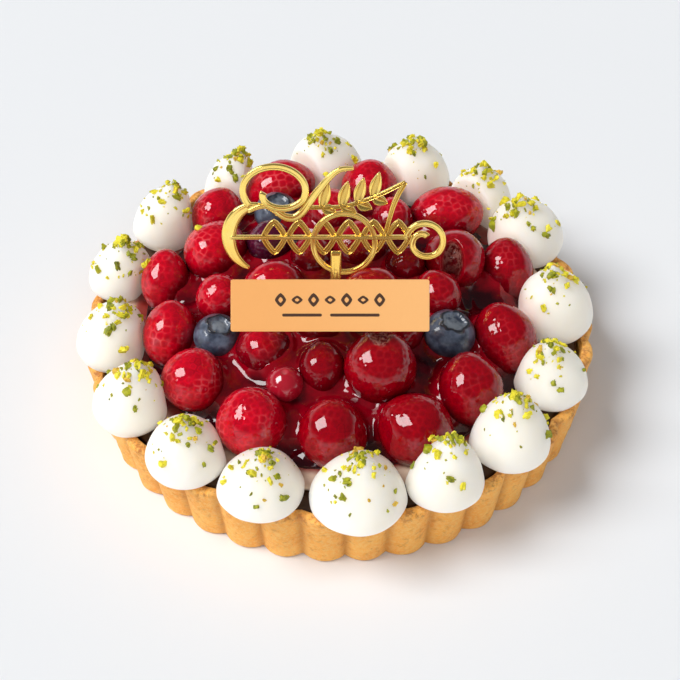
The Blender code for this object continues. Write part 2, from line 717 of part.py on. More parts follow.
def main():
    clear_scene()
    parts = new_collection("fruit_tart")
    pockets = new_collection("cutters")
    crust_skin = new_material("crust", (0.66, 0.36, 0.13), 0.7)
    filling_skin = new_material("filling", (0.16, 0.07, 0.03), 0.7)
    custard_skin = new_material("custard", (0.80, 0.58, 0.40), 0.5)
    jelly_skin = new_material("jelly", (0.10, 0.004, 0.006), 0.1)
    cream_skin = new_material("cream", (0.87, 0.83, 0.76), 0.5)
    raspberry_skin = new_material("raspberry", (0.36, 0.008, 0.014), 0.15)
    dark_skin = new_material("dark_berry", (0.10, 0.02, 0.035), 0.15)
    blueberry_skin = new_material("blueberry", (0.05, 0.065, 0.11), 0.3)
    currant_skin = new_material("redcurrant", (0.50, 0.012, 0.02), 0.1)
    tag_skin = new_material("tag", (0.86, 0.47, 0.19), 0.45)
    pick_skin = new_material("gold_plastic", (0.90, 0.60, 0.16), 0.18, 1.0)

    raspberries = [make_berry(f"raspberry_{i + 1:02d}", row) for i, row in enumerate(RASPBERRIES)]
    dark_berries = [make_berry("dark_berry", DARK_BERRY)]
    blueberries = [make_berry(f"blueberry_{i + 1}", row) for i, row in enumerate(BLUEBERRIES)]
    currants = [make_berry("redcurrant", REDCURRANT)]
    berries = raspberries + dark_berries + blueberries + currants
    settle(berries)

    build_crust(parts, crust_skin)
    filling = build_filling(parts, filling_skin)
    custard = build_custard(parts, custard_skin)
    jelly = build_jelly(parts, jelly_skin)
    build_berries(raspberries, berry_mesh, BERRY_SEGMENTS, BERRY_RINGS, parts, pockets, raspberry_skin)
    build_berries(dark_berries, berry_mesh, BERRY_SEGMENTS, BERRY_RINGS, parts, pockets, dark_skin)
    build_berries(blueberries, blueberry_mesh, BERRY_SEGMENTS, BERRY_RINGS, parts, pockets, blueberry_skin)
    build_berries(currants, berry_mesh, CURRANT_SEGMENTS, CURRANT_RINGS, parts, pockets, currant_skin)
    build_pick(parts, pockets, pick_skin)
    tag = build_tag(parts, tag_skin)
    rest_tag(tag, berries)

    rng = random.Random(CRUMB_SEED)
    for index in range(len(DOLLOPS)):
        limits = dollop_limits(index, berries)
        dollop = build_dollop(index, limits, parts, cream_skin)
        add_crumbs(dollop, limits, rng)

    bpy.context.view_layer.update()
    for layer in (jelly, custard, filling):
        difference(layer, pockets)
        smooth(layer)


main()
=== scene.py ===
# %% [markdown]
# # A fruit tart
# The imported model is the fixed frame: a fluted crust, the layers inside it, thirty-four berries, sixteen
# dollops of cream, a tag and a pick, all as plain solids. Each lesson below dresses one of them with a
# finer surface in the same place, because a frame of plain solids is right in size but not in finish.

import itertools
import math

import bpy
import numpy as np
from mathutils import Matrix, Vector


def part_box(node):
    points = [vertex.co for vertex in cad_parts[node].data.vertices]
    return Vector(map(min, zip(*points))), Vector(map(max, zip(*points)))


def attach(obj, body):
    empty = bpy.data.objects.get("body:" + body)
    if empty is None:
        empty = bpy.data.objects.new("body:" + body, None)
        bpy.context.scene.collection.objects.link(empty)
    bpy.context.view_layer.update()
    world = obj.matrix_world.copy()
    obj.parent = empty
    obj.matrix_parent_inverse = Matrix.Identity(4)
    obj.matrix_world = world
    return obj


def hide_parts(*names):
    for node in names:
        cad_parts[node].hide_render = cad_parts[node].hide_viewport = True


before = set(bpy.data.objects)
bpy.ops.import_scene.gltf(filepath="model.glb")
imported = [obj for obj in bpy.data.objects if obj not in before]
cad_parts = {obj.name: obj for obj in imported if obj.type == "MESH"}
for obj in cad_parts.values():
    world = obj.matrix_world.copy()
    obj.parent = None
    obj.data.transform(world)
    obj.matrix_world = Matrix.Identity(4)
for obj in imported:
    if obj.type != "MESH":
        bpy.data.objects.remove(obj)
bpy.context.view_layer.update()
MM = 0.001

# %% [markdown]
# ## Meshes from arrays
# Every surface here is a grid of points, worked out with numpy as whole arrays. One function turns a grid
# into a mesh: it joins neighbouring rows and columns with quads, wraps the columns round where the shape
# is closed, and closes the ends with a fan to a pole. A closed shape whose volume comes out negative is
# inside out, so its faces are reversed.

# %% Grid to mesh


def fan(ring, pole):
    """Triangles from a closed ring of point numbers to one pole point."""
    return np.stack([ring, np.roll(ring, -1), np.full_like(ring, pole)], axis=-1)


def mesh_from_faces(name, points, quads, triangles, values=None):
    """A smooth mesh from points, quads and triangles, with one float attribute per name in values."""
    corners = np.concatenate([quads.ravel(), triangles.ravel()]).astype(np.int32)
    sizes = np.concatenate([np.full(len(quads), 4), np.full(len(triangles), 3)]).astype(np.int32)
    mesh = bpy.data.meshes.new(name)
    mesh.vertices.add(len(points))
    mesh.vertices.foreach_set("co", points.astype(np.float32).ravel())
    mesh.loops.add(len(corners))
    mesh.loops.foreach_set("vertex_index", corners)
    mesh.polygons.add(len(sizes))
    mesh.polygons.foreach_set("loop_start", np.cumsum(sizes) - sizes)
    mesh.update(calc_edges=True)
    mesh.shade_smooth()
    for key, numbers in (values or {}).items():
        layer = mesh.attributes.new(key, "FLOAT", "POINT")
        layer.data.foreach_set("value", np.asarray(numbers, np.float32).ravel())
    return mesh


def enclosed_volume(points, triangles):
    """Signed volume: a sixth of the sum of each triangle's box product with the origin."""
    a, b, c = (points[triangles[:, corner]] for corner in range(3))
    return np.einsum("ij,ij->i", a, np.cross(b, c)).sum() / 6.0


def surface(name, grid, start=None, end=None, values=None, loop_rows=False):
    """Mesh of a grid, rows x columns x 3, whose columns wrap round.

    start and end are the poles that close the first and last row. loop_rows joins the last row to the
    first instead, as on a ring.
    """
    rows, columns = grid.shape[:2]
    number = np.arange(rows * columns).reshape(rows, columns)
    below = np.roll(number, -1, axis=0) if loop_rows else number[1:]
    here = number if loop_rows else number[:-1]
    quads = np.stack([here, np.roll(here, -1, 1), np.roll(below, -1, 1), below], axis=-1).reshape(-1, 4)
    points = grid.reshape(-1, 3)
    triangles = np.zeros((0, 3), int)
    if start is not None:
        triangles = np.concatenate([triangles, fan(number[0], len(points))[:, ::-1]])
        points = np.concatenate([points, [start]])
    if end is not None:
        triangles = np.concatenate([triangles, fan(number[-1], len(points))])
        points = np.concatenate([points, [end]])
    halves = np.concatenate([quads[:, :3], quads[:, [0, 2, 3]], triangles])
    if enclosed_volume(points, halves) < 0.0:
        quads = quads[:, ::-1]
        triangles = triangles[:, ::-1]
    padded = {}
    for key, numbers in (values or {}).items():
        numbers = np.asarray(numbers, float).reshape(rows, columns)
        poles = [row.mean() for row, pole in ((numbers[0], start), (numbers[-1], end)) if pole is not None]
        padded[key] = np.concatenate([numbers.ravel(), poles])
    return mesh_from_faces(name, points, quads, triangles, padded)


def add_piece(mesh, finish, replaces=()):
    """Put a mesh in the scene as a piece that rides on the tart and stands for the nodes it replaces."""
    piece = bpy.data.objects.new(mesh.name, mesh)
    bpy.context.scene.collection.objects.link(piece)
    mesh.materials.append(finish.material)
    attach(piece, "root")
    if replaces:
        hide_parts(*replaces)
    return piece


def noise(points, spacing, seed):
    """Smooth noise from -1 to 1: random values on a cubic lattice, blended by a smooth step."""
    side = 32
    lattice = np.random.default_rng(seed).uniform(-1.0, 1.0, (side, side, side))
    where = points / spacing + 1000.5
    base = np.floor(where).astype(int)
    share = where - base
    share = share * share * (3.0 - 2.0 * share)
    total = np.zeros(points.shape[:-1])
    for corner in itertools.product((0, 1), repeat=3):
        weight = np.prod(np.where(corner, share, 1.0 - share), axis=-1)
        index = (base + corner) % side
        total += weight * lattice[index[..., 0], index[..., 1], index[..., 2]]
    return total


def smooth_step(low, high, value):
    """0 below low, 1 above high, and a smooth rise between."""
    share = np.clip((value - low) / (high - low), 0.0, 1.0)
    return share * share * (3.0 - 2.0 * share)


def full_turn(count):
    """Angles once round, without the last one, which is the first again."""
    return np.linspace(0.0, math.tau, count, endpoint=False)


def node_box(name):
    """Lowest and highest corner of a node of the frame."""
    return [np.array(corner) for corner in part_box(name)]


print("mesh helpers ready")

# %% [markdown]
# ## Materials as expressions
# A finish is one Principled shader. What is the same all over is set on the shader's own sockets, and what
# varies is written as arithmetic on terms: a term wraps a node's output, and adding or multiplying terms
# adds Math nodes. Noise is read on Object coordinates, so it stays put on the piece.

# %% Terms and finishes


class Term:
    """A value that varies over a surface. Arithmetic on it adds Math nodes to its finish."""

    def __init__(self, finish, socket):
        self.finish = finish
        self.socket = socket

    def maths(self, operation, *values):
        return self.finish.node("ShaderNodeMath", {"operation": operation}, dict(enumerate(values)))

    def __add__(self, other):
        return self.maths("ADD", self, other)

    def __radd__(self, other):
        return self.maths("ADD", other, self)

    def __sub__(self, other):
        return self.maths("SUBTRACT", self, other)

    def __rsub__(self, other):
        return self.maths("SUBTRACT", other, self)

    def __mul__(self, other):
        return self.maths("MULTIPLY", self, other)

    def __rmul__(self, other):
        return self.maths("MULTIPLY", other, self)

    def rise(self, low, high):
        """0 where the term is below low, 1 above high, smooth between. Low may be the larger one."""
        ends = {"Value": self, "From Min": low, "From Max": high}
        return self.finish.node("ShaderNodeMapRange", {"interpolation_type": "SMOOTHSTEP"}, ends)


class Finish:
    """A material with one Principled shader."""

    def __init__(self, name, constants):
        self.material = bpy.data.materials.new(name)
        self.material.use_nodes = True
        self.tree = self.material.node_tree
        self.shader = self.tree.nodes["Principled BSDF"]
        for socket, value in constants.items():
            self.feed(self.shader.inputs[socket], value)

    def feed(self, socket, value):
        if isinstance(value, Term):
            self.tree.links.new(value.socket, socket)
        elif isinstance(value, tuple) and len(value) == 3 and len(socket.default_value) == 4:
            socket.default_value = (*value, 1.0)
        else:
            socket.default_value = value

    def node(self, kind, settings=None, inputs=None, output=0):
        node = self.tree.nodes.new(kind)
        for key, value in (settings or {}).items():
            setattr(node, key, value)
        for key, value in (inputs or {}).items():
            self.feed(node.inputs[key], value)
        return Term(self, node.outputs[output])

    def set(self, **terms):
        """Feed terms to the shader: Base_Color=..., Roughness=..., Normal=..."""
        for key, value in terms.items():
            self.feed(self.shader.inputs[key.replace("_", " ")], value)
        return self

    def place(self):
        return self.node("ShaderNodeTexCoord", output="Object")

    def noise(self, scale, detail=2.0, roughness=0.5):
        """Noise of about 0 to 1, with scale in features per metre."""
        inputs = {"Vector": self.place(), "Scale": scale, "Detail": detail, "Roughness": roughness}
        return self.node("ShaderNodeTexNoise", inputs=inputs)

    def attribute(self, name):
        return self.node("ShaderNodeAttribute", {"attribute_name": name}, output="Fac")

    def blend(self, share, first, second):
        """Colour mix of first and second by a share from 0 to 1."""
        settings = {"data_type": "RGBA"}
        return self.node("ShaderNodeMix", settings, {0: share, 6: first, 7: second}, output=2)

    def bump(self, height, strength, distance):
        inputs = {"Height": height, "Strength": strength, "Distance": distance}
        return self.node("ShaderNodeBump", inputs=inputs)


print("material helpers ready")

# %% [markdown]
# ## Camera, light and floor
# The tart stands on a pale surface, seen from about 46 degrees above. One large soft window on the left gives
# the square highlights on the glaze and the wide shadow on the right. A weaker, larger one in front opens the
# shadows, and it is left out of reflections, so that the glaze stays deep. The room is pale near the horizon
# and dim above, which gives the gold something bright to mirror and the berries a soft rim.

# %% Camera, light and floor
CAMERA_PLACE = (0.0002, -0.3326, 0.3615)
CAMERA_PITCH = math.radians(90.0 - 46.3)
LENS = 74.54
# Name, direction from the tart, distance, size, power, whether it shows in reflections
WINDOWS = (
    ("left window", (-0.62, -0.10, 0.78), 15.0, 7.75, 2250.0, True),
    ("front window", (0.05, -0.70, 0.71), 15.0, 12.1, 720.0, False),
)
WALL_LIGHT = 1.15
CEILING_LIGHT = 0.10
# Height of the direction, from 0 at the horizon to 1 straight up, where the wall ends and the ceiling starts
WALL_END = 0.08
CEILING_START = 0.42
FLOOR_REACH = 3.0
FLOOR_DROP = 0.2 * MM


def aim(obj, direction):
    """Turn a lamp so that it shines along a direction."""
    flat = math.hypot(direction[0], direction[1])
    obj.rotation_euler = (math.atan2(flat, -direction[2]), 0.0, math.atan2(-direction[0], direction[1]))


camera = bpy.data.objects.new("camera", bpy.data.cameras.new("camera"))
camera.data.sensor_width = 36.0
camera.data.lens = LENS
camera.location = CAMERA_PLACE
camera.rotation_euler = (CAMERA_PITCH, 0.0, 0.0)
bpy.context.scene.collection.objects.link(camera)
bpy.context.scene.camera = camera

for name, direction, distance, size, power, reflected in WINDOWS:
    lamp = bpy.data.lights.new(name, "AREA")
    lamp.shape = "SQUARE"
    lamp.size = size
    lamp.energy = power
    window = bpy.data.objects.new(name, lamp)
    window.location = np.array(direction) * distance
    aim(window, -np.array(direction))
    window.visible_glossy = reflected
    bpy.context.scene.collection.objects.link(window)

world = bpy.data.worlds.new("room")
world.use_nodes = True
room = world.node_tree
ray = room.nodes.new("ShaderNodeTexCoord")
parts = room.nodes.new("ShaderNodeSeparateXYZ")
fall = room.nodes.new("ShaderNodeMapRange")
fall.interpolation_type = "SMOOTHSTEP"
fade = {"From Min": WALL_END, "From Max": CEILING_START, "To Min": WALL_LIGHT, "To Max": CEILING_LIGHT}
for socket, value in fade.items():
    fall.inputs[socket].default_value = value
background = room.nodes["Background"]
background.inputs["Color"].default_value = (0.96, 0.98, 1.0, 1.0)
room.links.new(ray.outputs["Generated"], parts.inputs["Vector"])
room.links.new(parts.outputs["Z"], fall.inputs["Value"])
room.links.new(fall.outputs["Result"], background.inputs["Strength"])
bpy.context.scene.world = world
bpy.context.scene.view_settings.view_transform = "Standard"

floor_finish = Finish(
    "floor", {"Base Color": (0.80, 0.815, 0.835), "Roughness": 0.7, "Specular IOR Level": 0.0})
floor_mesh = bpy.data.meshes.new("floor")
floor_corners = [
    (side * FLOOR_REACH, back * FLOOR_REACH, 0.0) for side, back in ((-1, -1), (1, -1), (1, 1), (-1, 1))]
floor_mesh.from_pydata(floor_corners, [], [(0, 1, 2, 3)])
floor_mesh.materials.append(floor_finish.material)
floor = bpy.data.objects.new("floor", floor_mesh)
floor.location.z = -FLOOR_DROP
bpy.context.scene.collection.objects.link(floor)
print("camera,", len(WINDOWS), "windows, room and floor made")

# %% [markdown]
# ## Berries read from the frame
# A berry's solid is a faceted ellipsoid whose rings meet in two poles. The poles are the points that the most
# triangles share, so the berry's axis, size and hollow can be read from its node without any table. The
# glaze is half a millimetre thick, and is drawn as part of each berry.

# %% Read the berries
GLAZE = 0.5 * MM


class Berry:
    """Place, size and axes of a berry, read from its node."""

    def __init__(self, name):
        co = np.array([v.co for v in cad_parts[name].data.vertices], float)
        corners = np.array([p.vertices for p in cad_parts[name].data.polygons]).ravel()
        points, owner = np.unique(np.round(co, 6), axis=0, return_inverse=True)
        shared = np.bincount(owner.ravel()[corners], minlength=len(points))
        poles = np.argsort(shared)[-2:]
        first, second = points[poles]
        middle = points.mean(axis=0)
        self.name = name
        self.axis = (first - second) / np.linalg.norm(first - second)
        along = (points - middle) @ self.axis
        across = np.linalg.norm(points - middle - along[:, None] * self.axis, axis=1)
        if (along * across).sum() > 0.0:
            self.axis = -self.axis
            along = -along
        self.centre = middle
        self.half_width = across.max() + GLAZE
        self.tip = along.max() + GLAZE
        self.base = -along[poles].min() + GLAZE
        self.set_sides()

    def set_sides(self):
        """Two unit directions across the axis and across each other."""
        side = np.cross(self.axis, (0.0, 1.0, 0.0) if abs(self.axis[1]) < 0.9 else (1.0, 0.0, 0.0))
        self.side = side / np.linalg.norm(side)
        self.other = np.cross(self.axis, self.side)

    def half_extent(self, direction):
        """Distance from the centre to the tangent plane across a unit direction."""
        along = self.axis @ direction
        return math.sqrt((self.tip * along) ** 2 + self.half_width ** 2 * (1.0 - along * along))

    def to_world(self, local):
        return self.centre + local @ np.stack([self.side, self.other, self.axis])

    def glazed(self, local, values):
        """Mesh of a grid in the berry's own axes, with a pole at each end, at the mean height of its ring."""
        start, end = (self.to_world(np.array((0.0, 0.0, local[row, :, 2].mean()))) for row in (0, -1))
        return surface(self.name + "_glazed", self.to_world(local), start, end, values)


berries = {name: Berry(name) for name in sorted(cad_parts)
           if name.startswith(("raspberry", "blueberry", "dark_berry", "redcurrant"))}
print(len(berries), "berries read")

# %% [markdown]
# ## Jelly
# The jelly lies between the berries and climbs a little up each one, as any liquid that wets a wall does. Its
# level is a dome plus a climb that fades with the distance from each berry. A height over a polar grid is
# enough, because the jelly never overhangs. It is nearly black where it lies low between the berries, partly
# for its depth and partly as painted shade there, and deep red where it climbs, and noise breaks the edge
# between the two.

# %% Jelly
JELLY_RADIUS = 60.0 * MM
JELLY_DOME = 11.0 * MM
JELLY_CLIMB = 5.0 * MM
JELLY_FADE = 2.8 * MM
JELLY_SWELL = 1.2 * MM
JELLY_EDGE_TOP = 24.0 * MM
# Height and spacing of the ripples in millimetres, and the seed of their noise
JELLY_RIPPLES = ((0.75, 4.0, 3), (0.6, 7.5, 4))
GLAZED = {"Roughness": 0.6, "Specular IOR Level": 0.0, "Coat Weight": 1.0, "Coat Roughness": 0.03}
jelly_low, jelly_high = node_box("jelly")


def jelly_dome(radius):
    """Edge level plus the dome: height times (1 - (r / R)^2)^0.8."""
    inside = np.clip(1.0 - (radius / JELLY_RADIUS) ** 2, 0.0, 1.0)
    return JELLY_EDGE_TOP + JELLY_DOME * inside ** 0.8


def jelly_level(x, y):
    """The dome, plus a climb of 1 - product(1 - exp(-distance / fade)) over the berries."""
    dome = jelly_dome(np.hypot(x, y))
    dry = np.ones_like(dome)
    for berry in berries.values():
        rise = (dome - berry.centre[2]) / berry.half_extent(np.array((0.0, 0.0, 1.0)))
        across, deep = (berry.half_extent(np.array(way)) for way in ((1.0, 0.0, 0.0), (0.0, 1.0, 0.0)))
        width = 0.5 * (across + deep)
        waist = width * np.sqrt(np.clip(1.0 - rise ** 2, 0.0, 1.0))
        gap = np.hypot(x - berry.centre[0], y - berry.centre[1]) - waist
        dry *= 1.0 - np.exp(-np.clip(gap, 0.0, None) / JELLY_FADE)
    fade = smooth_step(65.0 * MM, 58.0 * MM, np.hypot(x, y))
    return dome + JELLY_SWELL * fade + JELLY_CLIMB * (1.0 - dry) * (0.3 + 0.7 * fade)


def above_jelly(points):
    """Height of points above the jelly, in millimetres."""
    return (points[..., 2] - jelly_level(points[..., 0], points[..., 1])) / MM


turn = full_turn(360)
radii = np.linspace(0.4 * MM, jelly_high[0], 130)
x = radii[:, None] * np.cos(turn)
y = radii[:, None] * np.sin(turn)
z = jelly_level(x, y)
place = np.stack([x, y, z], axis=-1)
for ripple, spacing, seed in JELLY_RIPPLES:
    z = z + ripple * MM * noise(place, spacing * MM, seed)
top = np.stack([x, y, z], axis=-1)
bottom = top[-1:].copy()
bottom[..., 2] = jelly_low[2]
depth = np.concatenate([z - jelly_dome(np.hypot(x, y)), np.zeros((1, len(turn)))]) / MM
jelly_mesh = surface(
    "jelly_bed", np.concatenate([top, bottom]), start=(0.0, 0.0, z[0].mean()), end=(0.0, 0.0, jelly_low[2]),
    values={"climb": depth})

jelly_finish = Finish("jelly", GLAZED)
broken = jelly_finish.noise(150.0, 3.0)
climb = jelly_finish.attribute("climb") + broken * 7.0 - 3.5
# Near black low down: partly the jelly's depth, partly painted shade between the berries
nearly_black, deep_red = (0.022, 0.0, 0.002), (0.26, 0.0, 0.007)
jelly_finish.set(Base_Color=jelly_finish.blend(climb.rise(1.2, 5.6), nearly_black, deep_red))
add_piece(jelly_mesh, jelly_finish, ["jelly"])
print("jelly:", len(jelly_mesh.polygons), "faces, top at", round(z.max() / MM, 1), "mm")

# %% [markdown]
# ## Raspberries
# A raspberry is a hollow cone of drupelets, here under a smooth glaze that nearly fills the creases. Seeds are
# set in staggered rings on the ellipsoid, and each point of the surface belongs to its nearest seed. The
# difference between the distances to the nearest two seeds is 0 on a crease and grows inward, so it gives
# both the shallow relief and the pale line that shows along a crease.

# %% Raspberry shape
DRUPELET = 2.5 * MM
RELIEF = 0.11 * MM
GLAZE_WAVE = 0.10 * MM
LUMP = 0.32 * MM
TIP_TAPER = 0.16
BERRY_ROWS = 104
BERRY_COLUMNS = 160


def ellipsoid(berry, polar, turn):
    """Points at a polar angle from the tip and a turn about the axis, in the berry's own axes.

    Width times sine and length times cosine of the polar angle, with the tip half drawn in by
    taper times cosine squared.
    """
    polar, turn = np.broadcast_arrays(polar, turn)
    up = np.cos(polar)
    across = berry.half_width * np.sin(polar) * (1.0 - TIP_TAPER * np.clip(up, 0.0, None) ** 2)
    return np.stack([across * np.cos(turn), across * np.sin(turn), berry.tip * up], axis=-1)


def drupelet_seeds(berry, rng):
    """Seeds in rings one drupelet apart, each ring turned half a drupelet against the last."""
    rings = max(4, round(math.pi * (berry.tip + berry.half_width) / 2 / (0.88 * DRUPELET)))
    seeds = []
    for ring in range(rings + 1):
        polar = math.pi * ring / rings
        count = max(1, round(math.tau * berry.half_width * math.sin(polar) / DRUPELET))
        turns = (np.arange(count) + 0.5 * (ring % 2) + rng.uniform(-0.2, 0.2, count)) * math.tau / count
        seeds.append(ellipsoid(berry, polar + rng.uniform(-0.05, 0.05, count), turns))
    return np.concatenate(seeds)


def crease_distance(points, seeds):
    """Difference of the distances to the nearest two seeds, and the number of the nearest one."""
    distance = np.linalg.norm(points[..., None, :] - seeds, axis=-1)
    nearest = np.argmin(distance, axis=-1)
    two = np.partition(distance, 1, axis=-1)
    return two[..., 1] - two[..., 0], nearest


def raspberry_mesh(berry, rng):
    """The ellipsoid, raised in the middle of each drupelet and drawn in along the creases."""
    polar = np.linspace(0.0, math.pi, BERRY_ROWS + 2)[1:-1, None]
    turn = full_turn(BERRY_COLUMNS)[None, :]
    local = ellipsoid(berry, polar, turn)
    outward = local / np.array((berry.half_width ** 2, berry.half_width ** 2, berry.tip ** 2))
    outward /= np.linalg.norm(outward, axis=-1, keepdims=True)
    seeds = drupelet_seeds(berry, rng)
    gap, nearest = crease_distance(local, seeds)
    tint = rng.uniform(0.0, 1.0, len(seeds))[nearest]
    filled = 0.15 + 0.85 * smooth_step(-0.2, 0.6, noise(local + berry.centre, 6.0 * MM, 11))
    bulge = smooth_step(0.0, 0.6 * DRUPELET, gap) - 0.6
    wave = GLAZE_WAVE * noise(local + berry.centre, 4.2 * MM, 12)
    wave = wave + LUMP * noise(local + berry.centre, 8.0 * MM, 14)
    local = local + outward * (RELIEF * filled * bulge + wave)[..., None]
    dent = berry.tip - berry.base
    bowl = np.zeros_like(gap)
    if dent > 0.3 * MM:
        sideways = np.cos(turn) * berry.side[0] + np.sin(turn) * berry.other[0]
        from_base = (math.pi - polar) * np.sqrt(1.0 + 3.0 * sideways ** 2)
        bowl = smooth_step(0.85, 0.3, from_base)
        wrinkle = 0.4 * MM * noise(local, 1.2 * MM, 13) * bowl
        local[..., 2] += smooth_step(1.5 * MM, 4.0 * MM, dent) * 1.5 * dent * bowl + wrinkle
    # The ripest berries lie to the right and in front
    ripeness = smooth_step(-28.0 * MM, 2.0 * MM, berry.centre[0])
    ripeness = ripeness * smooth_step(30.0 * MM, 8.0 * MM, berry.centre[1])
    ripeness = np.clip(ripeness + rng.uniform(-0.2, 0.2), 0.0, 1.0)
    return berry.glazed(local, {
        "crease": gap / MM, "tint": tint, "level": above_jelly(berry.to_world(local)), "bowl": bowl,
        "ripeness": np.full(gap.shape, ripeness)})


print("drupelets are", DRUPELET / MM, "mm apart, with", RELIEF / MM, "mm of relief")

# %% [markdown]
# The glaze over the fruit is clear, so the finish is a deep red under a full coat. The middle of a drupelet is
# the deepest. Its crease is a pale pink line in some patches, partly its own paler crease and partly a painted
# glint of the glaze, and a dark line of painted crease shade in others. A milky haze is painted in patches as
# painted sheen of the glaze. The hollow end is dull, brown and wrinkled. Towards the jelly the colour is
# painted darker, as painted shade where the berry sinks into the jelly.

# %% Raspberry finish


def berry_finish(name, deep, bright, ripe, line, painted_sheen, line_share):
    """Deep and bright flesh by drupelet, pale creases partly painted glint, painted crease shade, patches of
    painted sheen and painted shade towards the jelly.
    """
    finish = Finish(name, {
        **GLAZED, "Subsurface Weight": 0.2, "Subsurface Radius": (1.0, 0.08, 0.05), "Subsurface Scale": 0.002})
    crease = finish.attribute("crease")
    ripeness = finish.attribute("ripeness")
    patches = finish.noise(120.0, 3.0, 0.6)
    # Share of the painted glint on the crease lines and of the painted sheen, smaller on the ripest berries
    glint_and_sheen_share = 1.0 - 0.92 * ripeness
    # Pale crease line: partly the berry's own paler crease, partly a painted glint of the glaze in the crease
    pale_line_and_glint = crease.rise(0.75, 0.05) * patches.rise(0.47, 0.66) * line_share * glint_and_sheen_share
    # Painted shade: a dark line along the creases in some patches
    painted_crease_shade = crease.rise(0.8, 0.1) * patches.rise(0.5, 0.34) * 0.45
    flesh = finish.blend(finish.attribute("tint") * 0.32, finish.blend(ripeness, bright, ripe), deep)
    flesh = finish.blend(crease.rise(0.3, 1.5) * 0.27, flesh, deep)
    flesh = finish.blend(painted_crease_shade, flesh, deep)
    flesh = finish.blend(pale_line_and_glint, flesh, line)
    # Painted sheen: milky patches of glaze reflection in the colour
    sheen_patches = finish.noise(240.0, 4.0, 0.6)
    flesh = finish.blend(sheen_patches.rise(0.56, 0.8) * glint_and_sheen_share * 0.45, flesh, painted_sheen)
    bowl = finish.attribute("bowl")
    wrinkles = finish.noise(650.0, 4.0, 0.7)
    hollow = finish.blend(wrinkles.rise(0.4, 0.6), deep, (0.46, 0.21, 0.17))
    flesh = finish.blend(bowl.rise(0.1, 0.7) * 0.8, flesh, hollow)
    # Painted shade: the berry is darker the lower it sits towards the jelly
    painted_jelly_shade = finish.attribute("level").rise(6.5, -0.5)
    finish.set(
        Base_Color=finish.blend(painted_jelly_shade * 0.9, flesh, deep), Coat_Weight=1.0 - 0.75 * bowl.rise(0.2, 0.8),
        Normal=finish.bump(wrinkles * bowl, 1.0, 0.0015))
    return finish


raspberry_finish = berry_finish(
    "raspberry", deep=(0.10, 0.0, 0.003), bright=(0.66, 0.002, 0.018), ripe=(0.33, 0.0, 0.006),
    line=(0.74, 0.13, 0.14), painted_sheen=(0.48, 0.10, 0.12), line_share=0.48)
dark_finish = berry_finish(
    "dark_berry", deep=(0.03, 0.002, 0.01), bright=(0.10, 0.006, 0.03), ripe=(0.10, 0.006, 0.03),
    line=(0.22, 0.07, 0.12), painted_sheen=(0.18, 0.06, 0.10), line_share=0.5)
berry_random = np.random.default_rng(5)
for name, berry in berries.items():
    if name.startswith("raspberry"):
        add_piece(raspberry_mesh(berry, berry_random), raspberry_finish, [name])
add_piece(raspberry_mesh(berries["dark_berry"], berry_random), dark_finish, ["dark_berry"])
print("raspberries made")

# %% [markdown]
# ## Blueberries and the redcurrant
# A blueberry is a flattened ball with a crown: a five-lobed rim round a shallow well. The crown is a rise and
# a dip of the same surface, so a bloom of pale wax can follow it. The redcurrant is a plain ball with a small
# paler navel and faint ribs under its skin.

# %% Blueberries
# Radius of the crown's rim and of its well, as shares of the berry's, and what is added to the axis so that the
# crown turns up and to the back
CROWN_RIM = 0.46
CROWN_WELL = 0.38
CROWN_LIFT = np.array((0.15, 0.25, 0.6))
# Height of the rim and depth of the well in millimetres
CROWN_HEIGHT = 0.6
WELL_DEPTH = 1.2


def blueberry_mesh(berry, rng):
    """A flattened ball. Near the pole a rim of five lobes stands up round a well that is sunk in."""
    polar = np.linspace(0.0, math.pi, 72)[1:-1, None]
    turn = full_turn(120)[None, :]
    up = np.cos(polar) * np.ones_like(turn)
    across = np.sin(polar) * np.ones_like(turn)
    lobes = 0.5 + 0.5 * np.cos(5.0 * turn + rng.uniform(0.0, math.tau))
    crown_side = np.where(up > 0.0, 1.0, 0.0)
    ragged = noise(np.stack([np.cos(turn), np.sin(turn), 0.0 * turn], axis=-1) + berry.centre / MM, 0.35, 22)
    rim_at = CROWN_RIM + 0.05 * lobes + 0.06 * ragged
    rim = crown_side * np.exp(-((across - rim_at) / 0.07) ** 2)
    well = crown_side * smooth_step(rim_at, CROWN_WELL - 0.1, across)
    height = berry.tip * up + MM * (CROWN_HEIGHT * rim * (0.3 + 0.7 * lobes + 0.3 * ragged) - WELL_DEPTH * well)
    width = berry.half_width * across * (1.0 + 0.03 * rim)
    local = np.stack([width * np.cos(turn), width * np.sin(turn), height], axis=-1)
    local += 0.12 * MM * noise(local + berry.centre, 3.0 * MM, 21)[..., None] * local / berry.half_width
    return berry.glazed(local, {
        "rim": np.clip(rim * (0.75 + 0.25 * lobes + 0.5 * ragged), 0.0, 1.0), "well": well,
        "level": above_jelly(berry.to_world(local))})


blue_finish = Finish("blueberry", {"Coat Weight": 0.7, "Coat Roughness": 0.08, "IOR": 1.42})
bloom = blue_finish.noise(260.0, 4.0, 0.6)
skin = blue_finish.blend(bloom.rise(0.35, 0.7), (0.026, 0.036, 0.062), (0.12, 0.15, 0.215))
skin = blue_finish.blend(blue_finish.attribute("well") * bloom.rise(0.3, 0.6) * 0.8, skin, (0.21, 0.235, 0.26))
skin = blue_finish.blend(blue_finish.attribute("rim").rise(0.25, 0.7) * 0.9, skin, (0.010, 0.010, 0.014))
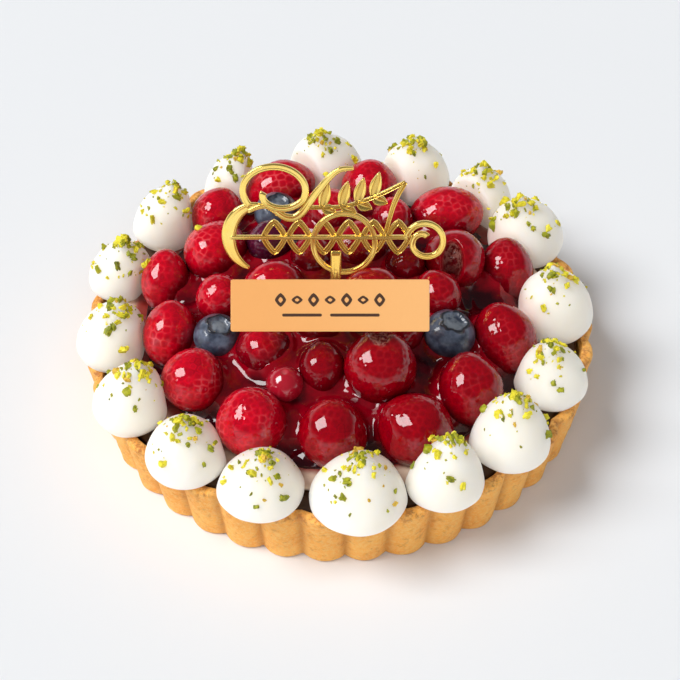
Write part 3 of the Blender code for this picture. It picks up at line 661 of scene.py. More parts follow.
# Painted shade: darker the lower the skin sits towards the jelly
skin = blue_finish.blend(blue_finish.attribute("level").rise(4.0, -1.0) * 0.8, skin, (0.02, 0.006, 0.014))
blue_finish.set(Base_Color=skin, Roughness=bloom.rise(0.2, 0.8) * 0.3 + 0.3)
for name, berry in berries.items():
    if name.startswith("blueberry"):
        crown = (berry.axis if berry.axis[2] > 0.0 else -berry.axis) + CROWN_LIFT
        berry.axis = crown / np.linalg.norm(crown)
        berry.set_sides()
        berry.tip = max(berry.tip, berry.base)
        add_piece(blueberry_mesh(berry, berry_random), blue_finish, [name])
print("blueberries made")

# %% Redcurrant
NAVEL_DEPTH = 0.5 * MM
CURRANT_RIBS = 10.0
currant = berries["redcurrant"]
polar = np.linspace(0.0, math.pi, 60)[1:-1, None]
turn = full_turn(96)[None, :]
local = ellipsoid(currant, polar, turn)
navel = smooth_step(0.30, 0.05, polar) * np.ones_like(turn)
local[..., 2] -= NAVEL_DEPTH * navel
currant_mesh = currant.glazed(local, {
    "navel": navel, "rib": (0.5 + 0.5 * np.cos(CURRANT_RIBS * turn)) * np.sin(polar),
    "level": above_jelly(currant.to_world(local))})
currant_finish = Finish("redcurrant", {"Roughness": 0.15, "Coat Weight": 1.0, "Coat Roughness": 0.03})
ribbed = currant_finish.attribute("rib").rise(0.75, 1.0) * 0.3
flesh = currant_finish.blend(ribbed, (0.40, 0.006, 0.02), (0.55, 0.05, 0.07))
flesh = currant_finish.blend(currant_finish.attribute("navel") * 0.6, flesh, (0.60, 0.10, 0.12))
# Painted shade: darker the lower the flesh sits towards the jelly
flesh = currant_finish.blend(currant_finish.attribute("level").rise(3.0, -1.0) * 0.8, flesh, (0.18, 0.002, 0.01))
currant_finish.set(Base_Color=flesh)
add_piece(currant_mesh, currant_finish, ["redcurrant"])
print("redcurrant made")

# %% [markdown]
# ## Crust
# The case is a turned profile whose radius is drawn in between thirty-nine flutes. The dent is the square of
# the distance from a flute's middle, so crests are round and valleys sharp, as pastry takes them from a fluted
# tin. Each flute is a little different, and the rim is rounded and slightly uneven.

# %% Crust shape
FLUTES = 39
FLUTE_DEPTH = 2.8 * MM
FLUTE_TURN = math.radians(-88.8)
INNER_FLUTING = 0.45
WALL = 3.8 * MM
RIM_ROUNDING = 1.5 * MM
FOOT_ROUNDING = 1.2 * MM
COLUMNS_PER_FLUTE = 16
RIM_RADIUS = 85.0 * MM
BASE_RADIUS = 82.3 * MM
RIM_HEIGHT = node_box("crust")[1][2]
FLOOR_LEVEL = 3.0 * MM
INNER_CORNER = 1.0 * MM
WALL_LEAN = 0.113
# Points of the profile on the floor and on the inner wall
FLOOR_POINTS = 4
INNER_POINTS = 8


def arc(centre, radii, start, end, count):
    """Points on an ellipse, or on a circle where one radius is given, between two angles in degrees."""
    radii = np.broadcast_to(radii, 2)
    angle = np.radians(np.linspace(start, end, count))
    return np.stack([centre[0] + radii[0] * np.cos(angle), centre[1] + radii[1] * np.sin(angle)], axis=-1)


def line(start, end, count):
    """Points from start up to, and without, end."""
    share = np.linspace(0.0, 1.0, count, endpoint=False)[:, None]
    return np.array(start) + share * (np.array(end) - np.array(start))


inner_base = (BASE_RADIUS - WALL, FLOOR_LEVEL)
inner_top = (RIM_RADIUS - WALL, RIM_HEIGHT - INNER_CORNER)
outer_foot = (BASE_RADIUS, FOOT_ROUNDING)
outline = np.concatenate([
    line((1.0 * MM, FLOOR_LEVEL), inner_base, FLOOR_POINTS),
    line(inner_base, inner_top, INNER_POINTS),
    arc((RIM_RADIUS - WALL + INNER_CORNER, RIM_HEIGHT - INNER_CORNER), INNER_CORNER, 180, 95, 5),
    arc((RIM_RADIUS - RIM_ROUNDING, RIM_HEIGHT - RIM_ROUNDING), RIM_ROUNDING, 88, 5, 7),
    line((RIM_RADIUS, RIM_HEIGHT - RIM_ROUNDING * 1.2), outer_foot, 34),
    arc((BASE_RADIUS - FOOT_ROUNDING, FOOT_ROUNDING), FOOT_ROUNDING, -5, -90, 6),
    line((BASE_RADIUS - 2.2 * FOOT_ROUNDING, 0.0), (1.0 * MM, 0.0), 8),
])
# The full depth of a flute is on the outer wall, and it fades over the rim to the share on the inner one
leaned_out = outline[:, 0] + 0.6 * (RIM_HEIGHT - outline[:, 1]) * WALL_LEAN
outer = smooth_step(RIM_RADIUS - WALL, RIM_RADIUS - 0.3 * WALL, leaned_out)
is_wall = outline[:, 0] > BASE_RADIUS - 1.3 * WALL
inside = np.arange(len(outline)) < FLOOR_POINTS + INNER_POINTS
up_the_wall = np.clip((outline[:, 1] - FLOOR_LEVEL) / (RIM_HEIGHT - FLOOR_LEVEL), 0, 1)
outer_fluting = np.where(is_wall, INNER_FLUTING + (1.0 - INNER_FLUTING) * outer, 0.0)
fluting = np.where(inside, INNER_FLUTING * up_the_wall, outer_fluting)

# %% Crust mesh
turn = full_turn(FLUTES * COLUMNS_PER_FLUTE)
phase = turn / math.tau * FLUTES
flute = np.floor(phase).astype(int) % FLUTES
dent = (2.0 * (phase % 1.0) - 1.0) ** 2
crust_random = np.random.default_rng(9)
depth_of_flute = crust_random.uniform(0.88, 1.0, FLUTES)[flute]
rim_offset = crust_random.uniform(-0.45, 0.1, FLUTES)[flute] * MM * (1.0 - dent)
angle = turn + FLUTE_TURN
radius = outline[:, 0:1] - fluting[:, None] * FLUTE_DEPTH * (dent * depth_of_flute)[None, :]
height_share = np.clip(outline[:, 1] / RIM_HEIGHT, 0.0, 1.0)[:, None]
height = outline[:, 1:2] + rim_offset[None, :] * height_share ** 3
grid = np.stack([radius * np.cos(angle), radius * np.sin(angle), height * np.ones_like(radius)], axis=-1)
rough = 0.5 * noise(grid, 2.2 * MM, 31) + 0.3 * noise(grid, 1.0 * MM, 32)
rough = rough + 0.7 * noise(grid, 7.0 * MM, 33)
outer_side = np.where(is_wall & ~inside, 1.0, 0.2)[:, None]
push = 0.2 * MM * rough * outer_side * (height_share > 0.02)
grid[..., 0] += push * np.cos(angle)
grid[..., 1] += push * np.sin(angle)
crust_mesh = surface(
    "crust_baked", grid, start=(0.0, 0.0, FLOOR_LEVEL), end=(0.0, 0.0, 0.0),
    values={"valley": dent[None, :] * np.ones_like(radius), "height": height_share * np.ones_like(radius)})
print("crust:", len(crust_mesh.polygons), "faces")

# %% [markdown]
# Shortcrust bakes gold, darker where it stands out to the heat at the rim and paler on the wall that the tin
# covered. Butter and sugar give a fine mottle, and the valleys between flutes are painted browner, as painted
# shade. The mesh holds the coarse grain, and noise adds the finer one as colour and bump.

# %% Crust finish
crust_finish = Finish("crust", {"Roughness": 0.62, "IOR": 1.45})
mottle = crust_finish.noise(900.0, 5.0, 0.7)
patch = crust_finish.noise(90.0, 4.0, 0.6)
spots = crust_finish.noise(380.0, 4.0, 0.75)
pastry = crust_finish.blend(patch.rise(0.35, 0.68), (1.0, 0.475, 0.085), (0.92, 0.375, 0.055))
pastry = crust_finish.blend(mottle.rise(0.42, 0.62) * 0.55, pastry, (0.98, 0.62, 0.21))
pastry = crust_finish.blend(spots.rise(0.52, 0.68) * 0.5, pastry, (0.60, 0.22, 0.035))
# Painted shade: the valleys between flutes are darker
painted_valley_shade = crust_finish.attribute("valley").rise(0.35, 1.0)
pastry = crust_finish.blend(painted_valley_shade * 0.5, pastry, (0.50, 0.18, 0.03))
near_rim = crust_finish.attribute("height").rise(0.84, 1.0)
pastry = crust_finish.blend(near_rim * spots.rise(0.42, 0.66) * 0.8, pastry, (0.42, 0.13, 0.03))
crust_finish.set(
    Base_Color=pastry,
    Normal=crust_finish.bump(crust_finish.noise(1500.0, 4.0, 0.7) + spots * 1.2, 0.75, 0.0006))
add_piece(crust_mesh, crust_finish, ["crust"])
print("crust finished")

# %% [markdown]
# ## Filling and custard
# Under the cream a dark layer fills the case, its near-black brown partly the baked filling's own colour and
# partly painted shade of the deep gaps, and a ring of pale custard lies on it round the jelly.
# Both show only in the gaps between dollops. Each is a turned profile with a lumpy top. The jelly has stained
# the custard, over a narrower band in front.

# %% Filling and custard
RING_COLUMNS = 400
FILLING_INNER = 65.0 * MM
FILLING_STEP = 3.0 * MM


def turned_ring(outline, lump, spacing, seed):
    """A profile of (radius, height) turned about Z, the points of its top moved up and down by noise."""
    turn = full_turn(RING_COLUMNS)
    radius = outline[:, 0:1]
    height = outline[:, 1:2] * np.ones_like(turn)[None, :]
    grid = np.stack([radius * np.cos(turn), radius * np.sin(turn), height], axis=-1)
    topmost = smooth_step(outline[:, 1].max() - 1.5 * MM, outline[:, 1].max(), outline[:, 1])[:, None]
    grid[..., 2] += lump * topmost * noise(grid, spacing, seed)
    return grid


filling_low, filling_high = node_box("filling")
custard_low, custard_high = node_box("custard")
edge, top, base = filling_high[0], filling_high[2], filling_low[2]
filling_outline = np.concatenate([
    line((FILLING_INNER, top - FILLING_STEP), (FILLING_INNER, top), 4),
    line((FILLING_INNER, top), (edge - 0.5 * MM, top), 24),
    line((edge, top - 0.4 * MM), (edge - 2.4 * MM, base), 8),
    line((edge - 2.4 * MM, base), (2.0 * MM, base), 6),
])
filling_mesh = surface(
    "filling_baked", turned_ring(filling_outline, 0.5 * MM, 2.5 * MM, 41),
    start=(0.0, 0.0, top - FILLING_STEP), end=(0.0, 0.0, base))
filling_finish = Finish("filling", {"Roughness": 0.5, "Coat Weight": 0.3, "Coat Roughness": 0.2})
crumb = filling_finish.noise(500.0, 4.0, 0.7)
# Near-black brown: partly the baked filling, partly painted shade of the gaps between dollops
filling_finish.set(Base_Color=filling_finish.blend(crumb, (0.018, 0.007, 0.003), (0.085, 0.032, 0.012)))
add_piece(filling_mesh, filling_finish, ["filling"])

edge, top, base = custard_high[0], custard_high[2], custard_low[2]
custard_outline = np.concatenate([
    line((63.0 * MM, base), (62.5 * MM, top - 0.5 * MM), 4),
    line((62.5 * MM, top), (edge - 0.8 * MM, top), 16),
    line((edge, top - 0.5 * MM), (edge - 0.4 * MM, base), 5),
])
custard_grid = turned_ring(custard_outline, 0.6 * MM, 3.0 * MM, 43)
at_front = smooth_step(-30.0 * MM, -62.0 * MM, custard_grid[..., 1])
custard_radius = np.hypot(custard_grid[..., 0], custard_grid[..., 1])
custard_mesh = surface("custard_set", custard_grid, loop_rows=True, values={
    "stain": smooth_step(72.5 * MM, 67.5 * MM, custard_radius + 3.4 * MM * at_front)})
custard_finish = Finish("custard", {"Roughness": 0.32, "Coat Weight": 0.5, "Coat Roughness": 0.15})
curd = custard_finish.noise(180.0, 3.0, 0.6)
stained = custard_finish.attribute("stain") * 0.7 + curd * 0.5 - 0.15
pale_custard, wine_stain = (0.86, 0.66, 0.50), (0.24, 0.02, 0.015)
custard_finish.set(Base_Color=custard_finish.blend(stained.rise(0.1, 0.8), pale_custard, wine_stain))
add_piece(custard_mesh, custard_finish, ["custard"])
print("filling and custard made")

# %% [markdown]
# ## Cream dollops
# Whipped cream piped with a plain round tube swells over its foot and closes in a soft tip that leans where
# the tube was pulled away. A dollop is a turned profile, its radius the root of 1 - t^2 times a power of
# 1 - t, with a neck under the tip and a lean that grows towards it. It is pressed flat where it meets a berry
# or the next dollop.

# %% Dollop shape
# In millimetres: x, y, widest radius, height of the tip, its lean and how far the widest ring is above the
# foot. The last number is how drawn out the tip is
DOLLOPS = (
    (5.5, -76.0, 14.8, 43.5, 2.0, 0.5, 0.29),
    (31.5, -70.0, 12.2, 45.0, 2.0, 1.5, 0.27),
    (52.5, -54.5, 12.9, 46.5, 0.0, 1.0, 0.24),
    (67.5, -31.0, 11.8, 44.0, -2.0, 3.0, 0.21),
    (71.5, -1.0, 12.9, 49.0, -2.0, 4.0, 0.18),
    (65.5, 36.0, 13.3, 46.5, -3.0, 4.0, 0.18),
    (50.5, 54.5, 11.6, 46.0, 0.0, 4.0, 0.18),
    (27.5, 68.5, 12.7, 47.0, -1.0, 4.0, 0.18),
    (-5.0, 72.5, 13.9, 46.5, -2.0, 4.0, 0.18),
    (-38.0, 61.5, 11.2, 47.5, 3.0, 4.0, 0.21),
    (-61.5, 43.0, 11.8, 47.5, 4.0, 4.0, 0.21),
    (-74.5, 17.5, 11.4, 44.5, 2.5, 2.5, 0.21),
    (-74.0, -14.5, 12.0, 47.0, 4.0, 4.0, 0.21),
    (-65.5, -41.5, 12.0, 46.0, 3.5, 4.0, 0.21),
    (-46.5, -61.0, 12.9, 42.5, -1.0, 2.5, 0.24),
    (-23.5, -73.0, 13.3, 40.0, 1.5, 2.0, 0.24),
)
DOLLOP_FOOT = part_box("dollop_01")[0].z
FOOT_SHARE = 0.9
FOOT_CURL = 1.6 * MM
# How far the neck draws the radius in, and where it lies between the widest ring and the tip
NECK_AT_FRONT = 0.14
NECK_AT_BACK = 0.42
NECK_LEVEL = 0.85
# Over this length a pressed side goes round into its plane
PRESS_ROUNDING = 0.5 * MM


class Dollop:
    """The form of one dollop and the upright planes that press it flat."""

    def __init__(self, index):
        x, y, radius, top, lean, belly = (value * MM for value in DOLLOPS[index][:6])
        self.name = f"dollop_{index + 1:02d}"
        self.centre = np.array((x, y, DOLLOP_FOOT))
        self.radius = radius
        self.height = top - DOLLOP_FOOT
        self.lean = lean
        self.belly = max(belly, FOOT_CURL)
        self.drawn = DOLLOPS[index][6]
        to_back = smooth_step(-45.0 * MM, 10.0 * MM, y)
        self.neck = NECK_AT_FRONT + (NECK_AT_BACK - NECK_AT_FRONT) * to_back
        self.limits = self.find_limits(index)

    def find_limits(self, index):
        """Point and outward normal of each plane against the jelly's edge, the next dollops and the berries."""
        flat = np.array((self.centre[0], self.centre[1], 0.0))
        inward = -flat / np.linalg.norm(flat)
        limits = [(-inward * JELLY_RADIUS, inward)]
        for other, row in enumerate(DOLLOPS):
            apart = np.array((row[0] * MM, row[1] * MM, 0.0)) - flat
            distance = np.linalg.norm(apart)
            if other != index and distance < 1.2 * (self.radius + row[2] * MM):
                share = (distance ** 2 + self.radius ** 2 - (row[2] * MM) ** 2) / (2 * distance)
                limits.append((flat + apart / distance * share, apart / distance))
        for berry in berries.values():
            apart = np.array((berry.centre[0], berry.centre[1], 0.0)) - flat
            distance = np.linalg.norm(apart)
            share = distance - berry.half_extent(apart / distance)
            if share < 1.2 * self.radius:
                limits.append((flat + apart / distance * share, apart / distance))
        return limits

    def points(self, level, turn):
        """Surface points. Level runs from -1 at the foot over 0 at the widest ring to 1 at the tip."""
        rise = np.clip(level, 0.0, 1.0)
        dome = np.sqrt(np.clip(1.0 - rise ** 2, 0.0, 1.0)) * (1.0 - rise) ** self.drawn
        dome = dome * (1.0 - self.neck * np.exp(-((rise - NECK_LEVEL) / 0.2) ** 2))
        sink = np.clip(-level, 0.0, 1.0)
        curl = 1.0 - (1.0 - FOOT_SHARE) * sink ** 2.2
        radius = self.radius * dome * curl
        above = self.belly + rise * (self.height - self.belly)
        height = np.where(level > 0.0, above, self.belly * (1.0 - sink)) * np.ones_like(turn)
        local = np.stack([radius * np.cos(turn), radius * np.sin(turn), height], axis=-1)
        wave = 0.03 * noise(local + self.centre, 9.0 * MM, 51)
        wave = wave + 0.012 * noise(local + self.centre, 4.0 * MM, 52)
        local[..., :2] *= 1.0 + wave[..., None]
        local[..., 0] += self.lean * (local[..., 2] / self.height) ** 2
        world = local + self.centre
        for point, normal in self.limits:
            beyond = (world - point) @ normal
            push = PRESS_ROUNDING * np.logaddexp(0.0, beyond / PRESS_ROUNDING)
            world = world - push[..., None] * normal * smooth_step(-3.0 * MM, 0.0, beyond)[..., None]
        return world


dollops = [Dollop(index) for index in range(len(DOLLOPS))]
print(len(dollops), "dollops planned")

# %% [markdown]
# Cream is nearly white and soft. Light enters it and comes out again a little way off, so its shadows are pale
# and warm. The whole of its diffuse light is subsurface light for that, and a faint warm glow stands in for
# what the many small bounces between dollops add. A broad, weak sheen comes from its fat. Near the berries it
# is painted pink, partly stain from the jelly and partly painted red light bounced from the berries, and at its
# foot it is painted yellower, as light bounced from the crust.

# %% Dollops
cream_finish = Finish("cream", {
    "Roughness": 0.5, "Specular IOR Level": 0.3, "Subsurface Weight": 1.0,
    "Subsurface Radius": (1.0, 0.9, 0.75), "Subsurface Scale": 0.012,
    "Emission Color": (1.0, 0.92, 0.80), "Emission Strength": 0.10})
tone = cream_finish.noise(60.0, 2.0)
white = cream_finish.blend(tone.rise(0.3, 0.7), (0.83, 0.80, 0.73), (0.82, 0.78, 0.69))
# Pink low down towards the berries: partly jelly stain, partly painted red light bounced from the berries
white = cream_finish.blend(cream_finish.attribute("stain") * 0.65, white, (0.86, 0.50, 0.46))
# Painted bounce light: yellower at the very foot, next to the crust
white = cream_finish.blend(cream_finish.attribute("foot") * 0.5, white, (0.86, 0.66, 0.42))
cream_finish.set(Base_Color=white)
# Rows from the foot to the widest ring, and then closer and closer to the tip
foot_levels = np.linspace(-1.0, 0.0, 12, endpoint=False)
levels = np.concatenate([foot_levels, 1.0 - np.linspace(1.0, 0.0, 60)[:-1] ** 1.6])
turn = full_turn(120)[None, :]
for dollop in dollops:
    grid = dollop.points(levels[:, None], turn)
    foot = grid[0].mean(axis=0)
    tip = grid[-1].mean(axis=0)
    from_axis = np.hypot(grid[..., 0], grid[..., 1])
    lift = (grid[..., 2] - DOLLOP_FOOT) / MM
    values = {
        "stain": smooth_step(69.0 * MM, 60.5 * MM, from_axis) * smooth_step(18.0, 6.0, lift),
        "foot": smooth_step(0.9, 0.1, lift)}
    piped = surface(dollop.name + "_piped", grid, foot, tip, values)
    add_piece(piped, cream_finish, [dollop.name])
print("dollops made")

# %% [markdown]
# ## Pistachio crumbs
# Chopped pistachio is green inside, yellow at the skin side and now and then tan. A crumb is a cube with each
# face cut in nine, pulled towards a ball, stretched and made uneven. All the crumbs of one colour are one
# mesh: the same template array is turned, sized and moved for each crumb in a single expression.

# %% Crumb template


def cube_template(cuts):
    """Points from -1 to 1 and quads of a cube whose sides are cut into cuts x cuts squares."""
    places = [p for p in itertools.product(range(cuts + 1), repeat=3) if min(p) == 0 or max(p) == cuts]
    number = {place: i for i, place in enumerate(places)}
    quads = []
    for axis, side in itertools.product(range(3), (0, cuts)):
        for u, v in itertools.product(range(cuts), repeat=2):
            ring = [(u, v), (u + 1, v), (u + 1, v + 1), (u, v + 1)]
            ring = ring if side else ring[::-1]
            corners = [tuple(int(i) for i in np.roll((side, *corner), axis)) for corner in ring]
            quads.append([number[corner] for corner in corners])
    return np.array(places) * 2.0 / cuts - 1.0, np.array(quads)


CRUMB_POINTS, CRUMB_QUADS = cube_template(3)


def random_turns(count, rng):
    """Random rotation matrices from unit quaternions."""
    q = rng.normal(size=(count, 4))
    w, x, y, z = (q / np.linalg.norm(q, axis=1, keepdims=True)).T
    return np.stack([
        np.stack([1 - 2 * (y * y + z * z), 2 * (x * y - z * w), 2 * (x * z + y * w)], -1),
        np.stack([2 * (x * y + z * w), 1 - 2 * (x * x + z * z), 2 * (y * z - x * w)], -1),
        np.stack([2 * (x * z - y * w), 2 * (y * z + x * w), 1 - 2 * (x * x + y * y)], -1)], 1)


def crumb_mesh(name, places, sizes, rng):
    """All crumbs of a kind: template points, pulled in, stretched, turned and moved."""
    count = len(places)
    ball = CRUMB_POINTS / np.linalg.norm(CRUMB_POINTS, axis=1, keepdims=True)
    form = 0.35 * CRUMB_POINTS + 0.65 * ball
    uneven = rng.uniform(0.62, 1.18, (count, len(form), 1))
    stretch = sizes[:, None] * np.stack([
        np.ones(count), rng.uniform(0.5, 0.9, count), rng.uniform(0.32, 0.65, count)], axis=-1)
    points = np.einsum("nij,nkj->nki", random_turns(count, rng), form * uneven * stretch[:, None, :] / 2)
    points = points + places[:, None, :]
    quads = CRUMB_QUADS[None] + np.arange(count)[:, None, None] * len(form)
    tint = np.repeat(rng.uniform(0.0, 1.0, count), len(form))
    no_triangles = np.zeros((0, 3), int)
    return mesh_from_faces(name, points.reshape(-1, 3), quads.reshape(-1, 4), no_triangles, {"tint": tint})


print("crumb template:", len(CRUMB_POINTS), "points,", len(CRUMB_QUADS), "quads")

# %% Scatter the crumbs
crumb_random = np.random.default_rng(17)
CRUMBS_ON_TIP = 26
CRUMBS_ON_SIDE = 11
CRUMBS_BEHIND = 8
DUST = 26
SPILLED_CRUMBS = 6
SPILLED_BEYOND = 46.0 * MM
SPOTS_TRIED = 60


def scatter(dollop, count, low, high, size_range):
    """Places on a dollop between two levels, and a size for each."""
    level = crumb_random.uniform(low, high, count)
    turn = crumb_random.uniform(0.0, math.tau, count)
    share = crumb_random.uniform(0.0, 1.0, count) ** 1.4
    return dollop.points(level, turn), (size_range[0] + (size_range[1] - size_range[0]) * share) * MM


places = []
sizes = []
for dollop in dollops:
    for count, low, high, size_range in (
            (CRUMBS_ON_TIP, 0.70, 0.995, (1.5, 3.6)),
            (CRUMBS_ON_SIDE, 0.3, 0.88, (1.4, 3.8)),
            (CRUMBS_BEHIND if dollop.centre[1] > 0.0 else 0, 0.35, 0.9, (1.8, 4.4)),
            (DUST, 0.4, 0.98, (0.5, 1.3))):
        where, size = scatter(dollop, count, low, high, size_range)
        places.append(where)
        sizes.append(size)
near_edge = [berry for name, berry in berries.items()
             if name.startswith("raspberry") and np.hypot(*berry.centre[:2]) > SPILLED_BEYOND]
for _ in range(SPILLED_CRUMBS):
    berry = near_edge[crumb_random.integers(len(near_edge))]
    spots = berry.to_world(ellipsoid(
        berry, np.arccos(crumb_random.uniform(-1.0, 1.0, SPOTS_TRIED)),
        crumb_random.uniform(0.0, math.tau, SPOTS_TRIED)))
    outward = berry.centre * np.array((1.0, 1.0, 0.0)) / np.hypot(*berry.centre[:2])
    best = np.argmax((spots - berry.centre) @ (0.85 * outward + np.array((0.0, 0.0, 0.55))))
    places.append(spots[best:best + 1])
    sizes.append(np.array([crumb_random.uniform(1.6, 3.2) * MM]))
places = np.concatenate(places)
sizes = np.concatenate(sizes)
kind = crumb_random.choice(3, len(places), p=(0.52, 0.40, 0.08))
CRUMB_COLOURS = (
    ("yellow", (0.56, 0.50, 0.006), (0.93, 0.80, 0.05)),
    ("olive", (0.15, 0.18, 0.003), (0.50, 0.48, 0.01)),
    ("tan", (0.55, 0.32, 0.02), (0.82, 0.55, 0.07)),
)
for index, (name, dark, light) in enumerate(CRUMB_COLOURS):
    chosen = kind == index
    mesh = crumb_mesh(f"pistachio_{name}", places[chosen], sizes[chosen], crumb_random)
    mesh.shade_flat()
    nut = Finish(f"pistachio_{name}", {"Roughness": 0.55})
    grain = nut.noise(700.0, 3.0)
    nut.set(Base_Color=nut.blend(nut.attribute("tint") * 0.5 + grain.rise(0.4, 0.62) * 0.5, dark, light))
    add_piece(mesh, nut)
print(len(places), "crumbs")

# %% [markdown]
# ## Tag
# The tag is a thin card that leans back on the berries. It is a plate with rounded corners: its outline is
# stacked from back to front and drawn in at both faces. A row of plain lozenges and two thin rules are printed
# on it, and they stand a little proud of the card.

# %% Tag
TAG_WIDTH = 60.2 * MM
TAG_HEIGHT = 15.8 * MM
TAG_THICKNESS = 1.0 * MM
TAG_CORNER = 0.7 * MM
TAG_EDGE = 0.12 * MM
TAG_RECLINE = math.radians(44.0)
CORNER_STEPS = 6
SHARP_FROM = math.radians(35.0)
tag_low, tag_high = node_box("tag")
tag_centre = (tag_low + tag_high) / 2


def leaning_axes(run, rise):
    """Rows: to the right, up a slope that goes back by run and up by rise, and out of the slope."""
    return np.array(((1.0, 0.0, 0.0), (0.0, run, rise), (0.0, -rise, run)))


TAG_AXES = leaning_axes(math.cos(TAG_RECLINE), math.sin(TAG_RECLINE))


def lozenge_reach(turn, half, power):
    """Distance from the middle to the side: (cos / half width)^p + (sin / half height)^p, to the power -1/p."""
    span = (np.abs(np.cos(turn)) / half[0]) ** power + (np.abs(np.sin(turn)) / half[1]) ** power
    return span ** (-1 / power)


def rounded_outline(half_width, half_height, corner, steps):
    """A rectangle's outline with round corners, anticlockwise from the lower right."""
    ends = []
    for number, (side, up) in enumerate(((1, -1), (1, 1), (-1, 1), (-1, -1))):
        centre = (side * (half_width - corner), up * (half_height - corner))
        ends.append(arc(centre, corner, -90 + 90 * number, 90 * number, steps))
    return np.concatenate(ends)


def plate(name, half_width, half_height, corner, thickness, edge, lift=0.0, shift=(0.0, 0.0)):
    """A rounded plate in the tag's own axes: outlines stacked from back to front, the ends drawn in."""
    bevel = edge / thickness
    steps = ((edge, -0.5), (0.0, -0.5 + bevel), (0.0, 0.5 - bevel), (edge, 0.5), (0.35 * half_height, 0.5))
    rows = []
    for inset, out in steps:
        rounding = max(corner - inset, 0.1 * MM)
        ring = rounded_outline(half_width - inset, half_height - inset, rounding, CORNER_STEPS)
        depth = np.full(len(ring), out * thickness + lift)
        rows.append(np.column_stack([ring[:, 0] + shift[0], ring[:, 1] + shift[1], depth]))
    grid = np.stack(rows) @ TAG_AXES + tag_centre
    back, front = (np.array((*shift, out * thickness + lift)) @ TAG_AXES + tag_centre for out in (-0.5, 0.5))
    mesh = surface(name, grid, back, front)
    mesh.set_sharp_from_angle(angle=SHARP_FROM)
    return mesh


tag_finish = Finish("tag", {"Roughness": 0.36, "Metallic": 0.25, "IOR": 1.5})
fibre = tag_finish.noise(900.0, 4.0, 0.6)
across = tag_finish.node("ShaderNodeSeparateXYZ", inputs={"Vector": tag_finish.place()})
# Fibre, plus a painted sheen that makes the card paler towards the right
fibre_and_painted_sheen = fibre * 0.25 + across.rise(-0.03, 0.035) * 0.75
tag_finish.set(
    Base_Color=tag_finish.blend(fibre_and_painted_sheen, (0.93, 0.43, 0.135), (1.0, 0.53, 0.20)),
    Normal=tag_finish.bump(tag_finish.noise(2600.0, 2.0), 0.05, 0.0002))
card = plate("tag_card", TAG_WIDTH / 2, TAG_HEIGHT / 2, TAG_CORNER, TAG_THICKNESS, TAG_EDGE)
add_piece(card, tag_finish, ["tag"])

# %% Tag ornament
# Power of a lozenge's sides, which at 1 would be straight
PRINT_POWER = 1.3
LOZENGES = 7
LOZENGE_STEP = 5.0 * MM
LOZENGE_LINE = 1.7 * MM
HOLE_SHARE = 0.42
# Middle and half-width of each rule in millimetres
RULES = ((-8.5, 6.0), (7.5, 7.5))
print_finish = Finish("tag_print", {"Base Color": (0.06, 0.025, 0.012), "Roughness": 0.45})
PRINT_HEIGHT = 0.06 * MM
face = TAG_THICKNESS / 2
turn = full_turn(24)
for number in range(LOZENGES):
    along = (number - LOZENGES // 2) * LOZENGE_STEP
    half = np.array((1.7, 2.1 if number % 2 == 0 else 1.3)) * MM
    reach = lozenge_reach(turn, half, PRINT_POWER)
    rings = []
    for share, out in ((1.0, 0.0), (1.0, PRINT_HEIGHT), (HOLE_SHARE, PRINT_HEIGHT), (HOLE_SHARE, 0.0)):
        rings.append(np.column_stack([
            along + share * reach * np.cos(turn), LOZENGE_LINE + share * reach * np.sin(turn),
            np.full(len(turn), face + out)]))
    mesh = surface(f"tag_lozenge_{number + 1}", np.stack(rings) @ TAG_AXES + tag_centre, loop_rows=True)
    mesh.set_sharp_from_angle(angle=SHARP_FROM)
    add_piece(mesh, print_finish)
for number, (along, half_width) in enumerate(RULES):
    rule = plate(f"tag_rule_{number + 1}", half_width * MM, 0.45 * MM, 0.4 * MM, 2 * PRINT_HEIGHT, 0.02 * MM,
                 lift=face, shift=(along * MM, -2.9 * MM))
    add_piece(rule, print_finish)
print("tag made")

# %% [markdown]
# ## Gold pick
# The pick is moulded in plastic and plated, so it shines like polished metal. A profile across each stroke is
# carried along its path, as wide as the stroke is there. The lozenges, the sprig with its leaves and the tail
# have two raised borders and a sunk middle, and the other strokes are plain bands. Strokes cross and run into
# each other, as the moulded piece does.

# %% Stroke helpers
PICK_FOOT = np.array((-1.5, 0.0, 42.0)) * MM
PICK_RECLINE = math.radians(23.0)
PICK_AXES = leaning_axes(math.sin(PICK_RECLINE), math.cos(PICK_RECLINE))
PICK_DEPTH = 1.5 * MM


def section(middle, *left):
    """A profile from its left half and its middle point, with the left half turned over for the right.

    Each point is how far across in half-widths, how far out in depths, and how deep in the recess.
    """
    return np.concatenate([left, [middle], np.array(left)[::-1] * (-1.0, 1.0, 1.0)])


STROKE_SECTION = section(
    (0.0, 0.04, 0.8),
    (-0.80, -0.50, 0.0), (-1.00, -0.30, 0.0), (-1.00, 0.15, 0.0), (-0.90, 0.42, 0.0), (-0.74, 0.50, 0.0),
    (-0.58, 0.42, 0.0), (-0.48, 0.12, 0.6), (-0.36, 0.02, 1.0))
BAND_SECTION = section(
    (0.0, 0.42, 0.15),
    (-0.80, -0.50, 0.0), (-1.00, -0.30, 0.0), (-1.00, 0.10, 0.0), (-0.86, 0.40, 0.0), (-0.66, 0.50, 0.0),
    (-0.36, 0.45, 0.1))


